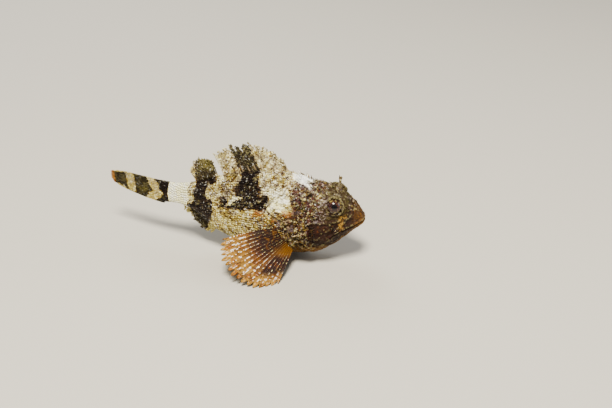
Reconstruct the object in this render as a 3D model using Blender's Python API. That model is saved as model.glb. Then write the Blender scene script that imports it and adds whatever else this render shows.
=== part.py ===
"""Black scorpionfish, a still model at life size that rests on its pectoral and pelvic fins.

The fish is first built straight. "along" runs back from the snout's tip, "side" runs out to
the fish's left and "up" is the height above the snout's tip, all in millimetres. Every cut
and join is made on the straight fish, and into_pose() then bends its tail to the left,
sets it over the floor at z = 0 and turns millimetres into metres.
"""

import math

import bmesh
import bpy
from mathutils import Matrix, Vector

MM = 0.001
GAP = 0.3  # what touching pieces keep between them
OVERSHOOT = 60.0  # how far a cutter runs past the fish

# Pose: the snout's place over the floor, and the arc that the rear of the body follows.
SNOUT_X = 60.0
SNOUT_HEIGHT = 22.6
BEND_START = 40.0
BEND_RADIUS = 225.0
LIFT_START = 50.0
LIFT_RADIUS = 700.0

BODY_LENGTH = 94.0  # snout to the root of the tail fin
BODY_FRONT = -0.8
NOSE_END, HEAD_END = 3.0, 44.0  # where the close rings of the nose and of the head end
NOSE_RINGS, HEAD_RINGS, TRUNK_RINGS = 5, 27, 13
RING_SIDES = 34

# The outline in side view, its half width from above, and the height where it is widest.
BACK = (
    (-0.8, -0.7), (0.5, 2.4), (3.7, 5.6), (8, 8.8), (12, 10.9), (16.5, 12.7), (21, 14.1),
    (26, 16.2), (32, 18.4), (38, 19.2), (45, 18.9), (53, 17.6), (62, 15.0), (70, 11.8),
    (78, 8.6), (86, 6.7), (94, 6.3),
)
BELLY = (
    (-0.8, -1.7), (0.5, -3.8), (3.7, -6.6), (8, -10.4), (12, -13.8), (16.5, -16.8),
    (21, -18.3), (26, -18.9), (32, -18.9), (38, -18.5), (45, -17.8), (53, -16.5),
    (62, -13.8), (67, -11.8), (71, -8.8), (75, -5.3), (79, -3.3), (84, -2.9), (89, -3.6),
    (94, -4.8),
)
FLANK = (
    (-0.8, 1.4), (0.5, 3.8), (3.7, 6.1), (8, 8.2), (14.7, 10.2), (21, 11.8), (28, 12.9),
    (36, 13.0), (42, 12.6), (50, 11.2), (60, 8.6), (70, 5.8), (80, 3.7), (90, 2.4), (94, 2.1),
)
WIDEST = ((-0.8, -1.2), (8, -2.4), (15, -3.4), (30, -3.0), (45, -2.0), (60, -0.8), (94, 0.2))
# How far a section departs from an ellipse: under 1 is boxier, over 1 runs up to a ridge.
BACK_SHAPE = ((-0.8, 0.9), (8, 0.75), (15, 0.7), (24, 0.85), (36, 1.15), (50, 1.25), (94, 1.0))
BELLY_SHAPE = ((-0.8, 0.85), (15, 0.85), (30, 0.8), (45, 0.75), (60, 0.85), (94, 1.0))

EYE_ALONG, EYE_SIDE, EYE_UP = 12.3, 6.7, 7.0
EYE_RADIUS = 4.0
EYE_LOOK = Vector((-0.17, 0.88, 0.36)).normalized()
RIM_OUT = 1.9  # how far out along the look the lids' ring stands
RIM_THICK = 0.7
RIM_CLEAR = 0.55  # how much of its roll stands clear of the eyeball
LID_SIDES = (20, 7)  # faces round the ring and round its roll
EYE_FACES, SOCKET_FACES = (16, 10), (20, 12)  # round and high

# Lines in side view: the mouth falls back from the snout, the jaw's hinge closes it behind,
# and the gill slit rounds the gill cover. Each runs on past the fish at its ends.
MOUTH_LINE = ((-5.0, 0.9), (-0.8, -1.0), (4.0, -2.4), (8.5, -4.2), (12.6, -6.6))
JAW_REAR = ((15.4, -9.4), (16.4, -12.0), (15.4, -14.6), (11.6, -18.4), (7.0, -24.0), (-5.0, -24.0))
GILL_LINE = (
    (30.4, 26.0), (30.6, 17.4), (33.6, 12.0), (38.8, 8.4), (41.0, 5.8), (38.2, 3.4),
    (34.0, 1.6), (31.8, -1.2), (30.6, -4.4), (29.2, -8.2), (27.2, -11.8), (24.4, -14.8),
    (21.6, -17.4), (20.0, -26.0),
)
HEAD_FRONT = ((-20.0, -24.0), (-20.0, 26.0))
STALK_START = 80.0


def through(points, x):
    """The smooth curve through (x, value) points, read at x."""
    x = min(max(x, points[0][0]), points[-1][0])
    last = len(points) - 2
    i = next(k for k in range(last + 1) if x <= points[k + 1][0] or k == last)
    (x0, y0), (x1, y1) = points[i], points[i + 1]
    before = points[max(i - 1, 0)]
    after = points[min(i + 2, last + 1)]
    rise0 = (y1 - before[1]) / (x1 - before[0])
    rise1 = (after[1] - y0) / (after[0] - x0)
    span = x1 - x0
    t = (x - x0) / span
    return (
        (2 * t**3 - 3 * t**2 + 1) * y0
        + (t**3 - 2 * t**2 + t) * span * rise0
        + (3 * t**2 - 2 * t**3) * y1
        + (t**3 - t**2) * span * rise1
    )


def hump(distance, spread):
    """1 at no distance, falling smoothly to nothing past about twice the spread."""
    return math.exp(-((distance / spread) ** 2))


# Swellings of each side of the head, the orbit, the cheek, the jowl and the gill cover: how
# high, then middle and spread along the fish, and middle and spread up it.
SWELLINGS = (
    (2.2, EYE_ALONG, 5.4, EYE_UP, 5.0),
    (0.7, 19.0, 9.0, -2.4, 1.8),
    (0.7, 16.0, 4.0, -8.5, 3.5),
    (0.9, 36.0, 5.5, -1.0, 8.0),
)
# Hollows on top of it, between the eyes and on the nape: how deep, then middle and spread
# along the fish, and spread to either side.
HOLLOWS = ((1.8, EYE_ALONG, 4.5, 2.6), (1.3, 23.5, 2.8, 4.0))
RELIEF_FADE = 6.0  # how far behind the snout the relief comes to its full height


def relief(along, side, up):
    """How far the skull stands out from the plain section."""
    out = 0.0
    for height, middle, spread, level, reach in SWELLINGS:
        out += height * hump(along - middle, spread) * hump(up - level, reach)
    if up > 0:
        for depth, middle, spread, reach in HOLLOWS:
            out -= depth * hump(along - middle, spread) * hump(side, reach)
    return out * min(1.0, (along - BODY_FRONT) / RELIEF_FADE)


def skin(along, angle):
    """The point of the body's surface at that distance back and turn, 0 at the left flank."""
    c, s = math.cos(angle), math.sin(angle)
    widest = through(WIDEST, along)
    edge, shape = (BACK, BACK_SHAPE) if s >= 0 else (BELLY, BELLY_SHAPE)
    height = abs(through(edge, along) - widest)
    width = through(FLANK, along)
    side = width * math.copysign(abs(c) ** through(shape, along), c)
    up = widest + height * s
    outward = Vector((0, side / width**2, (up - widest) / height**2)).normalized()
    return Vector((along, side, up)) + outward * relief(along, side, up)


def skin_at_height(along, up):
    """The left flank's point nearest that height, to a degree."""
    turns = [math.radians(degrees) for degrees in range(-88, 89)]
    return min((skin(along, turn) for turn in turns), key=lambda p: abs(p.z - up))


def skin_normal(along, angle):
    """The way straight out of the body's surface there."""
    step = 0.05
    around = skin(along, angle + step) - skin(along, angle - step)
    back = skin(along + step, angle) - skin(along - step, angle)
    return around.cross(back).normalized()


def face_outwards(bm):
    """Turns every face of a closed surface outwards."""
    bmesh.ops.recalc_face_normals(bm, faces=bm.faces)
    if bm.calc_volume(signed=True) < 0:
        bmesh.ops.reverse_faces(bm, faces=bm.faces)


def new_object(name, bm):
    """A mesh object from a bmesh of one closed surface."""
    face_outwards(bm)
    mesh = bpy.data.meshes.new(name)
    bm.to_mesh(mesh)
    bm.free()
    obj = bpy.data.objects.new(name, mesh)
    bpy.context.scene.collection.objects.link(obj)
    return obj


def ring_places():
    """Where the body's rings stand: close together at the snout, then even, then wider."""

    def spaced(start, end, count, power=1):
        return [start + (end - start) * (k / count) ** power for k in range(1, count + 1)]

    nose = spaced(BODY_FRONT, NOSE_END, NOSE_RINGS, 2)
    head = spaced(NOSE_END, HEAD_END, HEAD_RINGS)
    return [BODY_FRONT] + nose + head + spaced(HEAD_END, BODY_LENGTH, TRUNK_RINGS)


def whole_body():
    """Head, trunk and tail stalk as one closed surface."""
    bm = bmesh.new()
    rings = []
    for along in ring_places():
        turns = [2 * math.pi * k / RING_SIDES for k in range(RING_SIDES)]
        rings.append([bm.verts.new(skin(along, turn)) for turn in turns])
    for ring, following in zip(rings, rings[1:]):
        for k in range(RING_SIDES):
            j = (k + 1) % RING_SIDES
            bm.faces.new((ring[k], ring[j], following[j], following[k]))
    bm.faces.new(rings[0])
    bm.faces.new(rings[-1])
    bmesh.ops.triangulate(bm, faces=bm.faces)
    return new_object("whole_body", bm)


def prism(outline):
    """A side-view outline of (along, up) points, carried right through the fish."""
    bm = bmesh.new()
    near = [bm.verts.new((a, -OVERSHOOT, u)) for a, u in outline]
    far = [bm.verts.new((a, OVERSHOOT, u)) for a, u in outline]
    bm.faces.new(near)
    bm.faces.new(far[::-1])
    for k in range(len(outline)):
        j = (k + 1) % len(outline)
        bm.faces.new((near[k], far[k], far[j], near[j]))
    bmesh.ops.triangulate(bm, faces=bm.faces)
    return new_object("prism", bm)


def outset(outline, by):
    """The outline grown by that much on every side; its points run clockwise or not."""
    area = sum(
        a[0] * b[1] - b[0] * a[1] for a, b in zip(outline, outline[1:] + outline[:1])
    )
    turn = 1 if area > 0 else -1
    grown = []
    for k, here in enumerate(outline):
        before = Vector(here) - Vector(outline[k - 1])
        after = Vector(outline[(k + 1) % len(outline)]) - Vector(here)
        out0 = Vector((before.y, -before.x)).normalized() * turn
        out1 = Vector((after.y, -after.x)).normalized() * turn
        out = out0 + out1
        out *= by / (1 + out0.dot(out1))
        grown.append((here[0] + out.x, here[1] + out.y))
    return grown


def slab(start, end):
    """A block over everything between two distances along the fish."""
    return prism([(start, -OVERSHOOT), (end, -OVERSHOOT), (end, OVERSHOOT), (start, OVERSHOOT)])


def applied(obj):
    """The object with its modifiers made into its mesh."""
    graph = bpy.context.evaluated_depsgraph_get()
    mesh = bpy.data.meshes.new_from_object(obj.evaluated_get(graph))
    obj.modifiers.clear()
    obj.data = mesh
    return obj


def boolean(obj, tools, operation, solver="EXACT"):
    """Cuts, joins or keeps what is common, with the tools removed afterwards."""
    group = bpy.data.collections.new("tools")
    for tool in tools:
        group.objects.link(tool)
    modifier = obj.modifiers.new(operation.lower(), "BOOLEAN")
    modifier.operation = operation
    modifier.solver = solver
    modifier.operand_type = "COLLECTION"
    modifier.collection = group
    applied(obj)
    for tool in tools:
        bpy.data.objects.remove(tool)
    bpy.data.collections.remove(group)
    return obj


def keep_largest(obj):
    """Drops every loose scrap and sealed hollow, and leaves the largest closed surface."""
    bm = bmesh.new()
    bm.from_mesh(obj.data)
    bmesh.ops.remove_doubles(bm, verts=bm.verts, dist=1e-4)
    bmesh.ops.triangulate(bm, faces=bm.faces)
    left, islands = set(bm.faces), []
    while left:
        stack = [left.pop()]
        island = [stack[0]]
        while stack:
            for edge in stack.pop().edges:
                for face in edge.link_faces:
                    if face in left:
                        left.remove(face)
                        island.append(face)
                        stack.append(face)
        islands.append(island)
    largest = max(islands, key=lambda faces: sum(f.calc_area() for f in faces))
    scraps = [f for island in islands if island is not largest for f in island]
    bmesh.ops.delete(bm, geom=scraps, context="FACES")
    bm.to_mesh(obj.data)
    bm.free()
    return obj


def copy_of(obj, name):
    """A second object with a mesh of its own."""
    twin = bpy.data.objects.new(name, obj.data.copy())
    bpy.context.scene.collection.objects.link(twin)
    return twin


BLUNT = 0.12  # a spine's radius at its tip, of that at its root


def spike(root, tip, radius, sides=5):
    """A slender cone from a root sunk in the flesh to a point."""
    bm = bmesh.new()
    length = (tip - root).length
    bmesh.ops.create_cone(
        bm, cap_ends=True, segments=sides, radius1=radius, radius2=radius * BLUNT, depth=length
    )
    turn = (tip - root).to_track_quat("Z", "Y").to_matrix().to_4x4()
    bm.transform(Matrix.Translation((root + tip) / 2) @ turn)
    return new_object("spike", bm)


def tube(points, radii, sides=6):
    """A tube through the points, thick as the radii say, its ends closed."""
    curve = bpy.data.curves.new("tube", "CURVE")
    curve.dimensions = "3D"
    curve.bevel_depth = 1.0
    curve.bevel_resolution = max(0, sides // 2 - 2)
    curve.use_fill_caps = True
    spline = curve.splines.new("POLY")
    spline.points.add(len(points) - 1)
    for point, place, radius in zip(spline.points, points, radii):
        point.co = (*place, 1)
        point.radius = radius
    holder = bpy.data.objects.new("tube", curve)
    bpy.context.scene.collection.objects.link(holder)
    graph = bpy.context.evaluated_depsgraph_get()
    mesh = bpy.data.meshes.new_from_object(holder.evaluated_get(graph))
    bpy.data.objects.remove(holder)
    bm = bmesh.new()
    bm.from_mesh(mesh)
    bmesh.ops.remove_doubles(bm, verts=bm.verts, dist=1e-3)
    return new_object("tube", bm)


def ball(centre, radius, faces):
    """A sphere of that many faces round and high."""
    bm = bmesh.new()
    bmesh.ops.create_uvsphere(bm, u_segments=faces[0], v_segments=faces[1], radius=radius)
    bm.transform(Matrix.Translation(centre))
    return new_object("ball", bm)


def mirrored(point, hand):
    """The point on the fish's left for hand 1, and on its right for hand -1."""
    return Vector((point[0], point[1] * hand, point[2]))


# Spines of one side of the skull: distance back, turn up from the flank in degrees, length
# and radius at the root.
SKULL_SPINES = (
    (5.2, 60, 2.0, 0.5),
    (8.8, 58, 2.2, 0.55),
    (14.2, 68, 2.2, 0.6),
    (18.4, 60, 2.6, 0.6),
    (21.2, 52, 2.4, 0.55),
    (23.8, 64, 3.0, 0.65),
    (27.2, 62, 3.0, 0.65),
    (29.0, 46, 2.6, 0.6),
    (35.8, 26, 4.2, 0.7),
    (30.4, 13, 3.6, 0.65),
    (25.6, -6, 4.2, 0.75),
    (25.0, -20, 3.4, 0.7),
    (23.2, -34, 2.8, 0.6),
    (20.8, -46, 2.4, 0.55),
    (16.2, 13, 2.4, 0.55),
    (21.4, 12, 2.6, 0.6),
    (10.2, -2, 2.0, 0.55),
)
SPINE_SUNK = 1.0
SPINE_SET_BACK = 0.4  # how far in front of its foot a spine's root starts
SPINE_LEAN = math.radians(58)  # back from standing straight out of the skin


def backwards(out):
    """The way back along the skin, where out stands straight out of it."""
    return (Vector((1, 0, 0)) - out * out.x).normalized()


def skull_spines(hand):
    """The thorns of one side of the skull, leaning back."""
    made = []
    for along, degrees, length, radius in SKULL_SPINES:
        turn = math.radians(degrees)
        foot = skin(along, turn)
        out = skin_normal(along, turn)
        back = backwards(out)
        way = out * math.cos(SPINE_LEAN) + back * math.sin(SPINE_LEAN)
        root = mirrored(foot - out * SPINE_SUNK - back * SPINE_SET_BACK, hand)
        made.append(spike(root, mirrored(foot + way * length, hand), radius))
    return made


# Bony ridges of one side under the skin: how far each stands out, and its line in side view.
# They are the bar under the eye, the rear edge of the cheek, the temple, the nape and the
# gill cover's rib.
RIDGE_END = 0.5  # of its thickness, at either end
RIDGES = (
    (0.80, ((9.0, 1.2), (13.0, 0.5), (18.0, 0.3), (24.0, 1.2))),
    (0.80, ((24.4, 3.0), (26.0, -2.5), (25.7, -7.0), (23.4, -11.2), (20.0, -14.0))),
    (0.75, ((17.4, 8.8), (21.0, 9.9), (25.5, 10.6), (29.5, 11.4))),
    (0.80, ((15.8, 11.4), (19.5, 12.0), (24.0, 13.2), (28.6, 14.4))),
    (0.60, ((27.8, 3.8), (33.0, 5.1), (37.6, 5.9))),
)


def ridges(hand):
    """The skull's ridges, each a tube of four sides half sunk in the skin."""
    made = []
    for stand_out, line in RIDGES:
        crest = [mirrored(skin_at_height(along, up), hand) for along, up in line]
        sizes = [stand_out * RIDGE_END] + [stand_out] * (len(crest) - 2) + [stand_out * RIDGE_END]
        made.append(tube(crest, sizes, 4))
    return made


# Skin flaps of one side: distance back, turn up from the flank in degrees, length.
HEAD_FLAPS = (
    (5.4, 34, 1.6), (9.0, 4, 1.8), (13.4, 2, 2.2), (18.6, 22, 2.2), (17.6, 78, 2.0),
    (20.8, 76, 2.2), (23.6, 36, 2.2), (30.4, 30, 2.2), (27.6, 78, 2.0),
    (17.4, -14, 2.0), (19.6, -26, 1.8),
)
TRUNK_FLAPS = (
    (43.0, 30, 2.2), (48.5, 26, 2.0), (54.0, 22, 1.9), (60.0, 18, 1.7), (66.0, 14, 1.5),
    (72.0, 8, 1.4),
)
FLAP_RADIUS = 0.75
FLAP_TIP = 0.35  # of the radius at the root
FLAP_FLATNESS = 0.5
FLAP_LEAN = math.radians(40)


def skin_flaps(places, hand):
    """Small flat leaves of skin that lean back."""
    made = []
    for along, degrees, length in places:
        turn = math.radians(degrees)
        out = skin_normal(along, turn)
        way = mirrored(out * math.cos(FLAP_LEAN) + backwards(out) * math.sin(FLAP_LEAN), hand)
        foot = mirrored(skin(along, turn), hand)
        bm = bmesh.new()
        bmesh.ops.create_cone(
            bm,
            cap_ends=True,
            segments=5,
            radius1=FLAP_RADIUS,
            radius2=FLAP_RADIUS * FLAP_TIP,
            depth=length + SPINE_SUNK,
        )
        bm.transform(Matrix.Diagonal((1, FLAP_FLATNESS, 1, 1)))
        middle = foot + way * (length - SPINE_SUNK) / 2
        bm.transform(Matrix.Translation(middle) @ way.to_track_quat("Z", "Y").to_matrix().to_4x4())
        made.append(new_object("flap", bm))
    return made


def eye_centre(hand):
    """The middle of one eyeball."""
    return mirrored((EYE_ALONG, EYE_SIDE, EYE_UP), hand)


def lids(hand):
    """The ring of skin round the eye."""
    look = mirrored(EYE_LOOK, hand)
    centre = eye_centre(hand) + look * RIM_OUT
    bm = bmesh.new()
    reach = math.sqrt(EYE_RADIUS**2 - RIM_OUT**2) + RIM_THICK * RIM_CLEAR
    turn = look.to_track_quat("Z", "Y").to_matrix().to_4x4()
    around, across = LID_SIDES
    rings = []
    for i in range(around):
        a = 2 * math.pi * i / around
        ring = []
        for j in range(across):
            b = 2 * math.pi * j / across
            r = reach + RIM_THICK * math.cos(b)
            ring.append(bm.verts.new((r * math.cos(a), r * math.sin(a), RIM_THICK * math.sin(b))))
        rings.append(ring)
    for i in range(around):
        for j in range(across):
            k, m = (i + 1) % around, (j + 1) % across
            bm.faces.new((rings[i][j], rings[k][j], rings[k][m], rings[i][m]))
    bm.transform(Matrix.Translation(centre) @ turn)
    return new_object("lids", bm)


NOSTRILS = ((7.4, 50, 0.85, 0.9), (9.4, 40, 0.75, 0.5))  # back, turn, radius, height
NOSTRIL_HOLE = 0.55
NOSTRIL_SUNK = 1.0
NOSTRIL_HOLE_DEPTH = 0.6


def nostril(place, hand, radius, height, depth):
    """A short pipe out of the snout, or the hole down its middle."""
    along, degrees = place
    turn = math.radians(degrees)
    foot = skin(along, turn)
    out = skin_normal(along, turn)
    bm = bmesh.new()
    bmesh.ops.create_cone(
        bm, cap_ends=True, segments=8, radius1=radius, radius2=radius, depth=height + depth
    )
    way = mirrored(out, hand)
    middle = mirrored(foot, hand) + way * (height - depth) / 2
    bm.transform(Matrix.Translation(middle) @ way.to_track_quat("Z", "Y").to_matrix().to_4x4())
    return new_object("nostril", bm)


LIP_RADIUS = 0.75
LIP_FROM_MOUTH = 0.75  # how far over and under the mouth's line the lips run
LIP_REACH = 12.0  # how far back along the mouth the lips run
LIP_STEPS = 7
LIP_CROWDING = 1.4  # how much closer the steps are at the snout
LIP_CORNER = 0.55  # of its radius, at the mouth's corner


def lip(offset):
    """The roll of lip along one edge of the mouth, round the snout from corner to corner."""
    half = []
    for k in range(LIP_STEPS + 1):
        along = LIP_REACH * (1 - k / LIP_STEPS) ** LIP_CROWDING
        up = through(MOUTH_LINE, along) + offset
        half.append(skin_at_height(along + 0.05, up))
    nose = Vector((BODY_FRONT + 0.3, 0, through(MOUTH_LINE, 0) + offset))
    line = half + [nose] + [mirrored(p, -1) for p in reversed(half)]
    corner = LIP_RADIUS * LIP_CORNER
    return tube(line, [corner] + [LIP_RADIUS] * (len(line) - 2) + [corner], 8)


# The maxilla's blade, from the snout back along the lip to its paddle-shaped end.
MAXILLA_ALONG = (4.5, 7.5, 10.5, 13.2, 15.0)
MAXILLA_UP = (-1.2, -2.6, -4.6, -7.0, -9.0)
MAXILLA_THICK = (0.7, 0.95, 1.2, 1.5, 1.0)
MAXILLA_SUNK = 0.45


def maxilla(hand):
    """The upper jaw's blade of one side, half sunk in the cheek."""
    places = []
    for along, up, thick in zip(MAXILLA_ALONG, MAXILLA_UP, MAXILLA_THICK):
        place = skin_at_height(along, up)
        places.append(mirrored(place - Vector((0, thick * MAXILLA_SUNK, 0)), hand))
    return tube(places, MAXILLA_THICK, 8)


TENTACLE_FROM_EYE = Vector((-1.4, -1.9, 5.0))
TENTACLE_WAY = Vector((-0.15, 0.18, 1.0)).normalized()
TENTACLE_RADIUS = 0.75
TENTACLE_DEPTH = 0.6
BROW_RADIUS = 1.7
BROW_SUNK = 0.8  # of its radius
BROW_FACES = (12, 8)
TENTACLE_HEIGHT = 4.8
TENTACLE_STEPS = 6
TENTACLE_SWEEP = 0.6  # how far back its tip leans
TENTACLE_TAPER = 0.7
TENTACLE_SLACK = 0.25  # how much its reach falls off toward the tip
# Along the stem, length of the stem's, and 1 for a branch that leans back or -1 forward.
TENTACLE_BRANCHES = ((0.35, 0.5, 1), (0.52, 0.45, -1), (0.66, 0.35, 1), (0.8, 0.25, -1))
TWIG_SPREAD = 0.62
TWIG_RADII = (0.42, 0.34, 0.2)
TWIG_ELBOW, TWIG_RISE = 0.55, 0.5


def tentacle_axis(hand):
    """The feeler's foot over the eye, and the way it stands."""
    return eye_centre(hand) + mirrored(TENTACLE_FROM_EYE, hand), mirrored(TENTACLE_WAY, hand)


def brow(hand):
    """The knob of flesh over the eye that the feeler grows from."""
    foot, way = tentacle_axis(hand)
    return ball(foot - way * BROW_RADIUS * BROW_SUNK, BROW_RADIUS, BROW_FACES)


def tentacle_socket(hand):
    """What the feeler's foot takes out of the brow, with the gap round it."""
    foot, way = tentacle_axis(hand)
    return rod(foot - way * (TENTACLE_DEPTH + GAP), foot + way * 4, TENTACLE_RADIUS + GAP)


def rod(start, end, radius):
    """A straight round bar."""
    bm = bmesh.new()
    bmesh.ops.create_cone(
        bm, cap_ends=True, segments=10, radius1=radius, radius2=radius, depth=(end - start).length
    )
    turn = (end - start).to_track_quat("Z", "Y").to_matrix().to_4x4()
    bm.transform(Matrix.Translation((start + end) / 2) @ turn)
    return new_object("rod", bm)


def tentacle(hand):
    """The fringed feeler over the eye: a flat stem that leans back, with short branches."""
    foot, way = tentacle_axis(hand)
    start = foot - way * TENTACLE_DEPTH
    back = Vector((1, 0, 0))

    def reach(t):
        return TENTACLE_HEIGHT * t * (1 - TENTACLE_SLACK * t)

    def stem(t):
        return foot + way * reach(t) + back * TENTACLE_SWEEP * t**2

    shares = [k / TENTACLE_STEPS for k in range(TENTACLE_STEPS + 1)]
    line = [start] + [stem(t) for t in shares]
    sizes = [TENTACLE_RADIUS] + [TENTACLE_RADIUS * (1 - TENTACLE_TAPER * t) for t in shares]
    body = tube(line, sizes, 8)
    twigs = []
    for t, share, turn in TENTACLE_BRANCHES:
        root = stem(t)
        out = (way + back * turn).normalized() * TENTACLE_HEIGHT * share * TWIG_SPREAD
        line = [root, root + out * TWIG_ELBOW, root + out + way * TWIG_RISE]
        twigs.append(tube(line, TWIG_RADII, 6))
    boolean(body, twigs, "UNION")
    return body


def plate(name, surface, columns, reach, thick, rows):
    """A fin: one curved sheet through its rays, thicker on each ray, split alike on both faces.

    surface(u, t) is its middle, u counting rays and t running from root to margin.
    columns lists (u, share of ray), reach(u) is how far out the margin stands there.
    """
    bm = bmesh.new()
    step = 0.01
    near, far = [], []
    for u, share in columns:
        front, rear = [], []
        for j in range(rows + 1):
            t = reach(u) * j / rows
            across = surface(u + step, t) - surface(u - step, t)
            out = surface(u, t + step) - surface(u, t - step)
            half = across.cross(out).normalized() * thick(t, share) / 2
            middle = surface(u, t)
            front.append(bm.verts.new(middle + half))
            rear.append(bm.verts.new(middle - half))
        near.append(front)
        far.append(rear)
    for i in range(len(columns) - 1):
        for j in range(rows):
            lean = (i + j) % 2 == 0
            for side in (near, far):
                a, b = side[i][j], side[i + 1][j]
                c, d = side[i + 1][j + 1], side[i][j + 1]
                pairs = ((a, b, c), (a, c, d)) if lean else ((a, b, d), (b, c, d))
                for corners in pairs:
                    bm.faces.new(corners)
        for j in (0, rows):
            bm.faces.new((near[i][j], near[i + 1][j], far[i + 1][j], far[i][j]))
    for i in (0, len(columns) - 1):
        for j in range(rows):
            bm.faces.new((near[i][j], near[i][j + 1], far[i][j + 1], far[i][j]))
    bmesh.ops.triangulate(bm, faces=[f for f in bm.faces if len(f.verts) > 3])
    return new_object(name, bm)


SHOULDER_SHARE = 0.12  # how much of the ray's ridge is left at its shoulders


def ray_columns(count, shoulder=0):
    """(u, share of ray) for a fin's columns, with a shoulder that far beside each ray."""
    columns = []
    for i in range(count):
        if i and shoulder:
            columns.append((i - shoulder, SHOULDER_SHARE))
        columns.append((i, 1.0))
        if i < count - 1:
            if shoulder:
                columns.append((i + shoulder, SHOULDER_SHARE))
            columns.append((i + 0.5, 0.0))
    return columns


def notched(depth):
    """A margin that dips between the rays by that share of their length."""

    def reach(u):
        return 1 - depth * abs(u - round(u)) * 2

    return reach


def ray_thickness(root, margin, ridge, tip):
    """Sheet thickness that thins from root to margin, with the ray's ridge on it."""

    def thick(t, share):
        sheet = root + (margin - root) * min(t * 1.6, 1)
        return sheet + share * (ridge + (tip - ridge) * t)

    return thick


FIN_SUNK = 1.6
FIN_WAVES = 1.9  # how fast an upright fin's margin weaves from ray to ray
SPINY_LENGTHS = (6.6, 9.4, 11.6, 12.4, 12.6, 12.4, 12.2, 11.9, 11.4, 10.6, 9.4)
SPINY_START, SPINY_END = 32.0, 61.4
SPINY_SHOULDER = 0.22
SPINY_LAST_WEB = (10.3, 10.55)  # where the web behind the last spine ends
SOFT_LENGTHS = (6.8, 8.0, 8.5, 8.6, 8.5, 8.2, 7.6, 6.6, 5.4, 4.0)
SOFT_START, SOFT_END = 64.6, 74.6
ANAL_LENGTHS = (3.0, 4.8, 4.6, 4.8, 4.8, 4.6, 4.4, 4.0)
ANAL_START, ANAL_END = 65.8, 75.8
# Lean of the first and the last ray in degrees, sway of the margin, curl of each ray.
SPINY_STAND = (22, 20, 0.5, 0.10)
SOFT_STAND = (14, 26, 0.0, 0.10)
ANAL_STAND = (34, 74, 0.0, 0.10)


def between(values, u):
    """The list read at a fraction of a place, straight between its values."""
    u = min(max(u, 0.0), len(values) - 1.0)
    i = min(int(u), len(values) - 2)
    return values[i] + (values[i + 1] - values[i]) * (u - i)


def upright_fin(lengths, start, end, edge, lean_first, lean_last, wave, curl):
    """The middle of a fin on the midline, standing up from the BACK or hanging from the BELLY."""
    way = 1 if edge is BACK else -1
    last = len(lengths) - 1

    def surface(u, t):
        along = start + (end - start) * u / last
        lean = math.radians(lean_first + (lean_last - lean_first) * u / last)
        length = between(lengths, u) + FIN_SUNK
        foot = through(edge, along) - way * FIN_SUNK
        back = math.sin(lean) * length * t + curl * length * t**2
        rise = math.cos(lean) * length * t
        return Vector((along + back, wave * math.sin(FIN_WAVES * u) * t, foot + way * rise))

    return surface


CAUDAL_RAYS = 13
CAUDAL_ROOT_HALF = 5.4
CAUDAL_LENGTH = 28.5
CAUDAL_FAN = math.radians(-2.0)
CAUDAL_MIDDLE = 0.6
CAUDAL_ROUND, CAUDAL_CORNER = 0.10, 0.22  # how much shorter its outer rays are
CAUDAL_SWAY = (0.8, 2.4, 0.8)  # how far, and how fast along the rays and across them


def caudal_surface(u, t):
    """The middle of the tail fin, half closed, its margin rounded."""
    v = 2 * u / (CAUDAL_RAYS - 1) - 1
    foot = Vector((BODY_LENGTH - FIN_SUNK, 0, CAUDAL_MIDDLE + CAUDAL_ROOT_HALF * v))
    angle = CAUDAL_FAN * v
    length = (CAUDAL_LENGTH + FIN_SUNK) * (1 - CAUDAL_ROUND * v * v - CAUDAL_CORNER * v**6)
    out = Vector((math.cos(angle), 0, math.sin(angle))) * length * t
    far, outward, across = CAUDAL_SWAY
    sway = far * math.sin(outward * t + across * v) * t
    return foot + out + Vector((0, sway, 0))


PECTORAL_RAYS = 16
# Side-view places of the ends of the fin's root on the flank, and its rays' tips from the top
# one, 0, down to the lowest, 1.
PECTORAL_ROOT_TOP, PECTORAL_ROOT_LOW = (31.8, -2.0), (29.6, -13.0)
PECTORAL_TIP_ALONG = ((0, 58.5), (0.25, 57.0), (0.5, 51.5), (0.75, 43.0), (1, 34.0))
PECTORAL_TIP_SIDE = ((0, 21.0), (0.25, 26.5), (0.5, 30.0), (0.75, 30.5), (1, 26.5))
PECTORAL_TIP_UP = ((0, -6.0), (0.25, -12.5), (0.5, -18.8), (0.75, -22.6), (1, -22.9))
PECTORAL_SUNK = 2.0
PECTORAL_ROOT_OUT, PECTORAL_ROOT_TUCK = 0.97, 0.42  # of the flank's width, high and low
PECTORAL_BOW = Vector((-0.78, 1.3, 2.08))


def pectoral_surface(hand):
    """The middle of the breast fin, spread like a skirt, its lower rays standing on the floor."""

    def surface(u, t):
        v = u / (PECTORAL_RAYS - 1)
        along = PECTORAL_ROOT_TOP[0] + (PECTORAL_ROOT_LOW[0] - PECTORAL_ROOT_TOP[0]) * v
        up = PECTORAL_ROOT_TOP[1] + (PECTORAL_ROOT_LOW[1] - PECTORAL_ROOT_TOP[1]) * v
        out = PECTORAL_ROOT_OUT - PECTORAL_ROOT_TUCK * v**2
        side = through(FLANK, along) * out - PECTORAL_SUNK
        foot = Vector((along, side, up))
        tip = Vector((
            through(PECTORAL_TIP_ALONG, v),
            through(PECTORAL_TIP_SIDE, v),
            through(PECTORAL_TIP_UP, v),
        ))
        bow = PECTORAL_BOW * math.sin(math.pi * min(t, 1))
        return mirrored(foot + (tip - foot) * t + bow, hand)

    return surface


PELVIC_RAYS = 6
PELVIC_ROOT_FRONT, PELVIC_ROOT_REAR = (30.6, 4.8), (36.0, 3.0)
PELVIC_TIP_ALONG = ((0, 33.5), (0.35, 41.0), (0.7, 47.0), (1, 49.0))
PELVIC_TIP_SIDE = ((0, 14.0), (0.35, 15.0), (0.7, 12.0), (1, 7.0))
PELVIC_TIP_UP = -22.8
PELVIC_BOW = 0.7
PELVIC_SUNK = 2.2


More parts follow.
